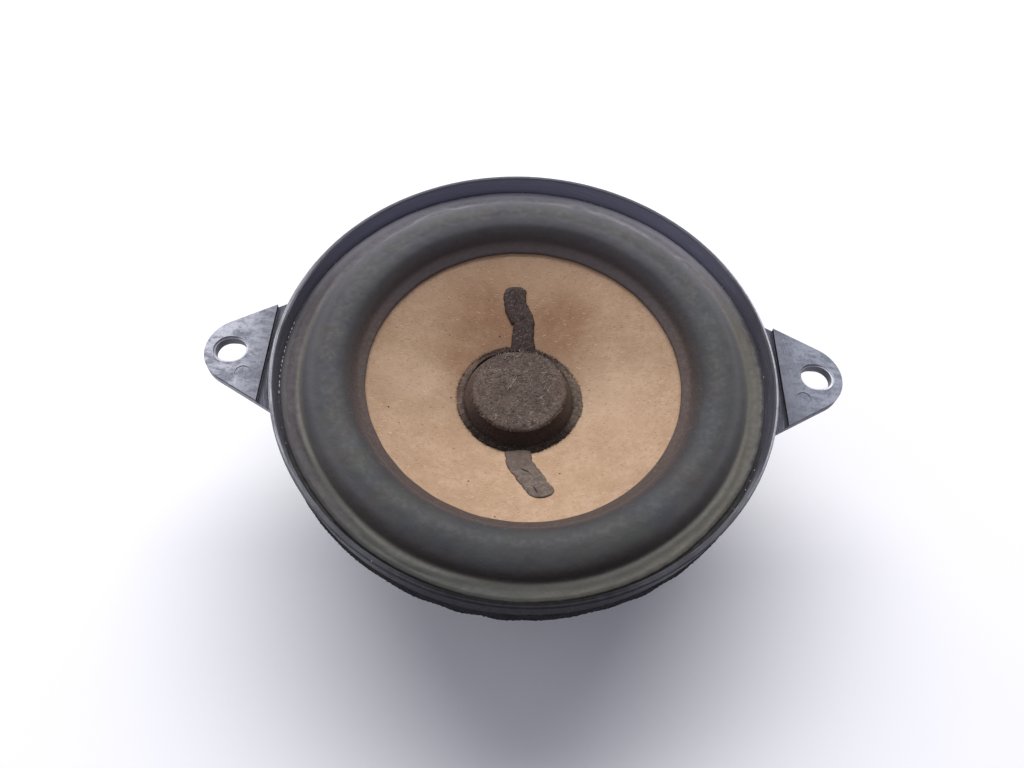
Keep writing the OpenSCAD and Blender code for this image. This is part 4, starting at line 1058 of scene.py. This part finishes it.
def floor():
    """A pale floor: white to the camera where it is lit, and clear far away and from below."""
    half, drop, touching = 3.0, 0.0001, 0.001
    mesh = bpy.data.meshes.new("floor")
    mesh.from_pydata([(-half, -half, -drop), (half, -half, -drop), (half, half, -drop), (-half, half, -drop)],
                     [], [(0, 1, 2, 3)])
    item = placed("floor", mesh)
    m = Material("floor", rough=0.9, specular=0.0)
    m.colour((0.90, 0.90, 0.94, 1))
    path = m.add("ShaderNodeLightPath")
    seen = Value(m, path.outputs["Is Camera Ray"])
    grey = m.add("ShaderNodeCombineColor", dict.fromkeys(range(3), seen * 0.16)).outputs[0]
    more = m.add("ShaderNodeBsdfDiffuse", {"Color": grey}).outputs[0]
    lit = m.add("ShaderNodeAddShader", {0: m.shader.outputs[0], 1: more}).outputs[0]
    clear = m.add("ShaderNodeBsdfTransparent").outputs[0]
    # clear from below, and for the short rays that leave the face standing on it
    close = m.math("LESS_THAN", path.outputs["Ray Length"], touching)
    away = m.r.step(350, 900) * seen
    share = m.either(m.either(m.add("ShaderNodeNewGeometry").outputs["Backfacing"], close), away)
    sides = m.add("ShaderNodeMixShader", {0: share, 1: lit, 2: clear}).outputs[0]
    m.put(m.tree.nodes["Material Output"].inputs["Surface"], sides)
    item.data.materials.append(m.material)


def lamp(name, azimuth, elevation, distance, width, height, power, tint):
    """An area light that looks at the speaker. Azimuth 0 is behind it, and 90 on its right."""
    data = bpy.data.lights.new(name, "AREA")
    data.shape = "RECTANGLE"
    data.size, data.size_y = width, height
    data.energy = power
    data.color = tint
    item = placed(name, data)
    a, e = math.radians(azimuth), math.radians(elevation)
    away = Vector((math.sin(a) * math.cos(e), math.cos(a) * math.cos(e), math.sin(e)))
    aim = Vector((0, 0, 30 * MM))
    item.location = away * distance + aim
    item.rotation_euler = away.to_track_quat("Z", "Y").to_euler()
    item.visible_camera = False


def world():
    """Bluish light from all round, which the camera, a reflection or a clear surface sees as white."""
    studio = bpy.data.worlds.new("studio")
    bpy.context.scene.world = studio
    studio.use_nodes = True
    tree = studio.node_tree
    back = tree.nodes["Background"]
    back.inputs["Color"].default_value = (0.21, 0.21, 0.25, 1)
    back.inputs["Strength"].default_value = 1.0
    white = tree.nodes.new("ShaderNodeBackground")
    white.inputs["Color"].default_value = (1, 1, 1, 1)
    path = tree.nodes.new("ShaderNodeLightPath")
    seen = path.outputs["Is Camera Ray"]
    for key in ("Is Glossy Ray", "Is Transmission Ray"):
        both = tree.nodes.new("ShaderNodeMath")
        both.operation = "MAXIMUM"
        tree.links.new(seen, both.inputs[0])
        tree.links.new(path.outputs[key], both.inputs[1])
        seen = both.outputs[0]
    pick = tree.nodes.new("ShaderNodeMixShader")
    tree.links.new(seen, pick.inputs[0])
    tree.links.new(back.outputs[0], pick.inputs[1])
    tree.links.new(white.outputs[0], pick.inputs[2])
    tree.links.new(pick.outputs[0], tree.nodes["World Output"].inputs["Surface"])


# The photograph's size, the pixel that shows the lip's centre, and the camera's focal length in pixels
PHOTO_W, PHOTO_H = 1024, 768
CENTRE_U, CENTRE_V = 525.6, 356.7
FOCAL = 800.0


def camera():
    """The photograph's camera: close, from the front and above, with the speaker turned a little under it."""
    elevation, roll, turn = math.radians(56.45), math.radians(-5.19), math.radians(2.9)
    distance, sensor = 161.7 * MM, 36
    offset = distance * Vector((0, -math.cos(elevation), math.sin(elevation)))
    ahead = -offset.normalized()
    right = Vector((1, 0, 0))
    aimed = Matrix((right, right.cross(ahead), -ahead))
    rolled = Matrix.Rotation(roll, 3, "Z")
    target = Vector(((CENTRE_U - PHOTO_W / 2) / FOCAL, -(CENTRE_V - PHOTO_H / 2) / FOCAL, -1)).normalized()
    shifted = Vector((0, 0, -1)).rotation_difference(target).to_matrix()
    turned = Matrix.Rotation(turn, 3, "Z")
    seen = shifted @ rolled @ aimed @ turned
    place = turned.transposed() @ offset + Vector((0, 0, LIP_Z * MM))
    data = bpy.data.cameras.new("camera")
    data.lens, data.sensor_width = FOCAL * sensor / PHOTO_W, sensor
    data.clip_start, data.clip_end = 0.005, 20
    item = placed("camera", data)
    item.matrix_world = Matrix.Translation(place) @ seen.transposed().to_4x4()
    bpy.context.scene.camera = item


floor()
lamp("window", azimuth=-4, elevation=50, distance=1.1, width=1.5, height=0.7, power=15.9,
     tint=(1.0, 0.99, 0.98))
lamp("fill", azimuth=-95, elevation=32, distance=1.2, width=1.2, height=0.9, power=2.2,
     tint=(0.96, 0.98, 1.0))
world()
camera()
bpy.context.scene.view_settings.view_transform = "Standard"
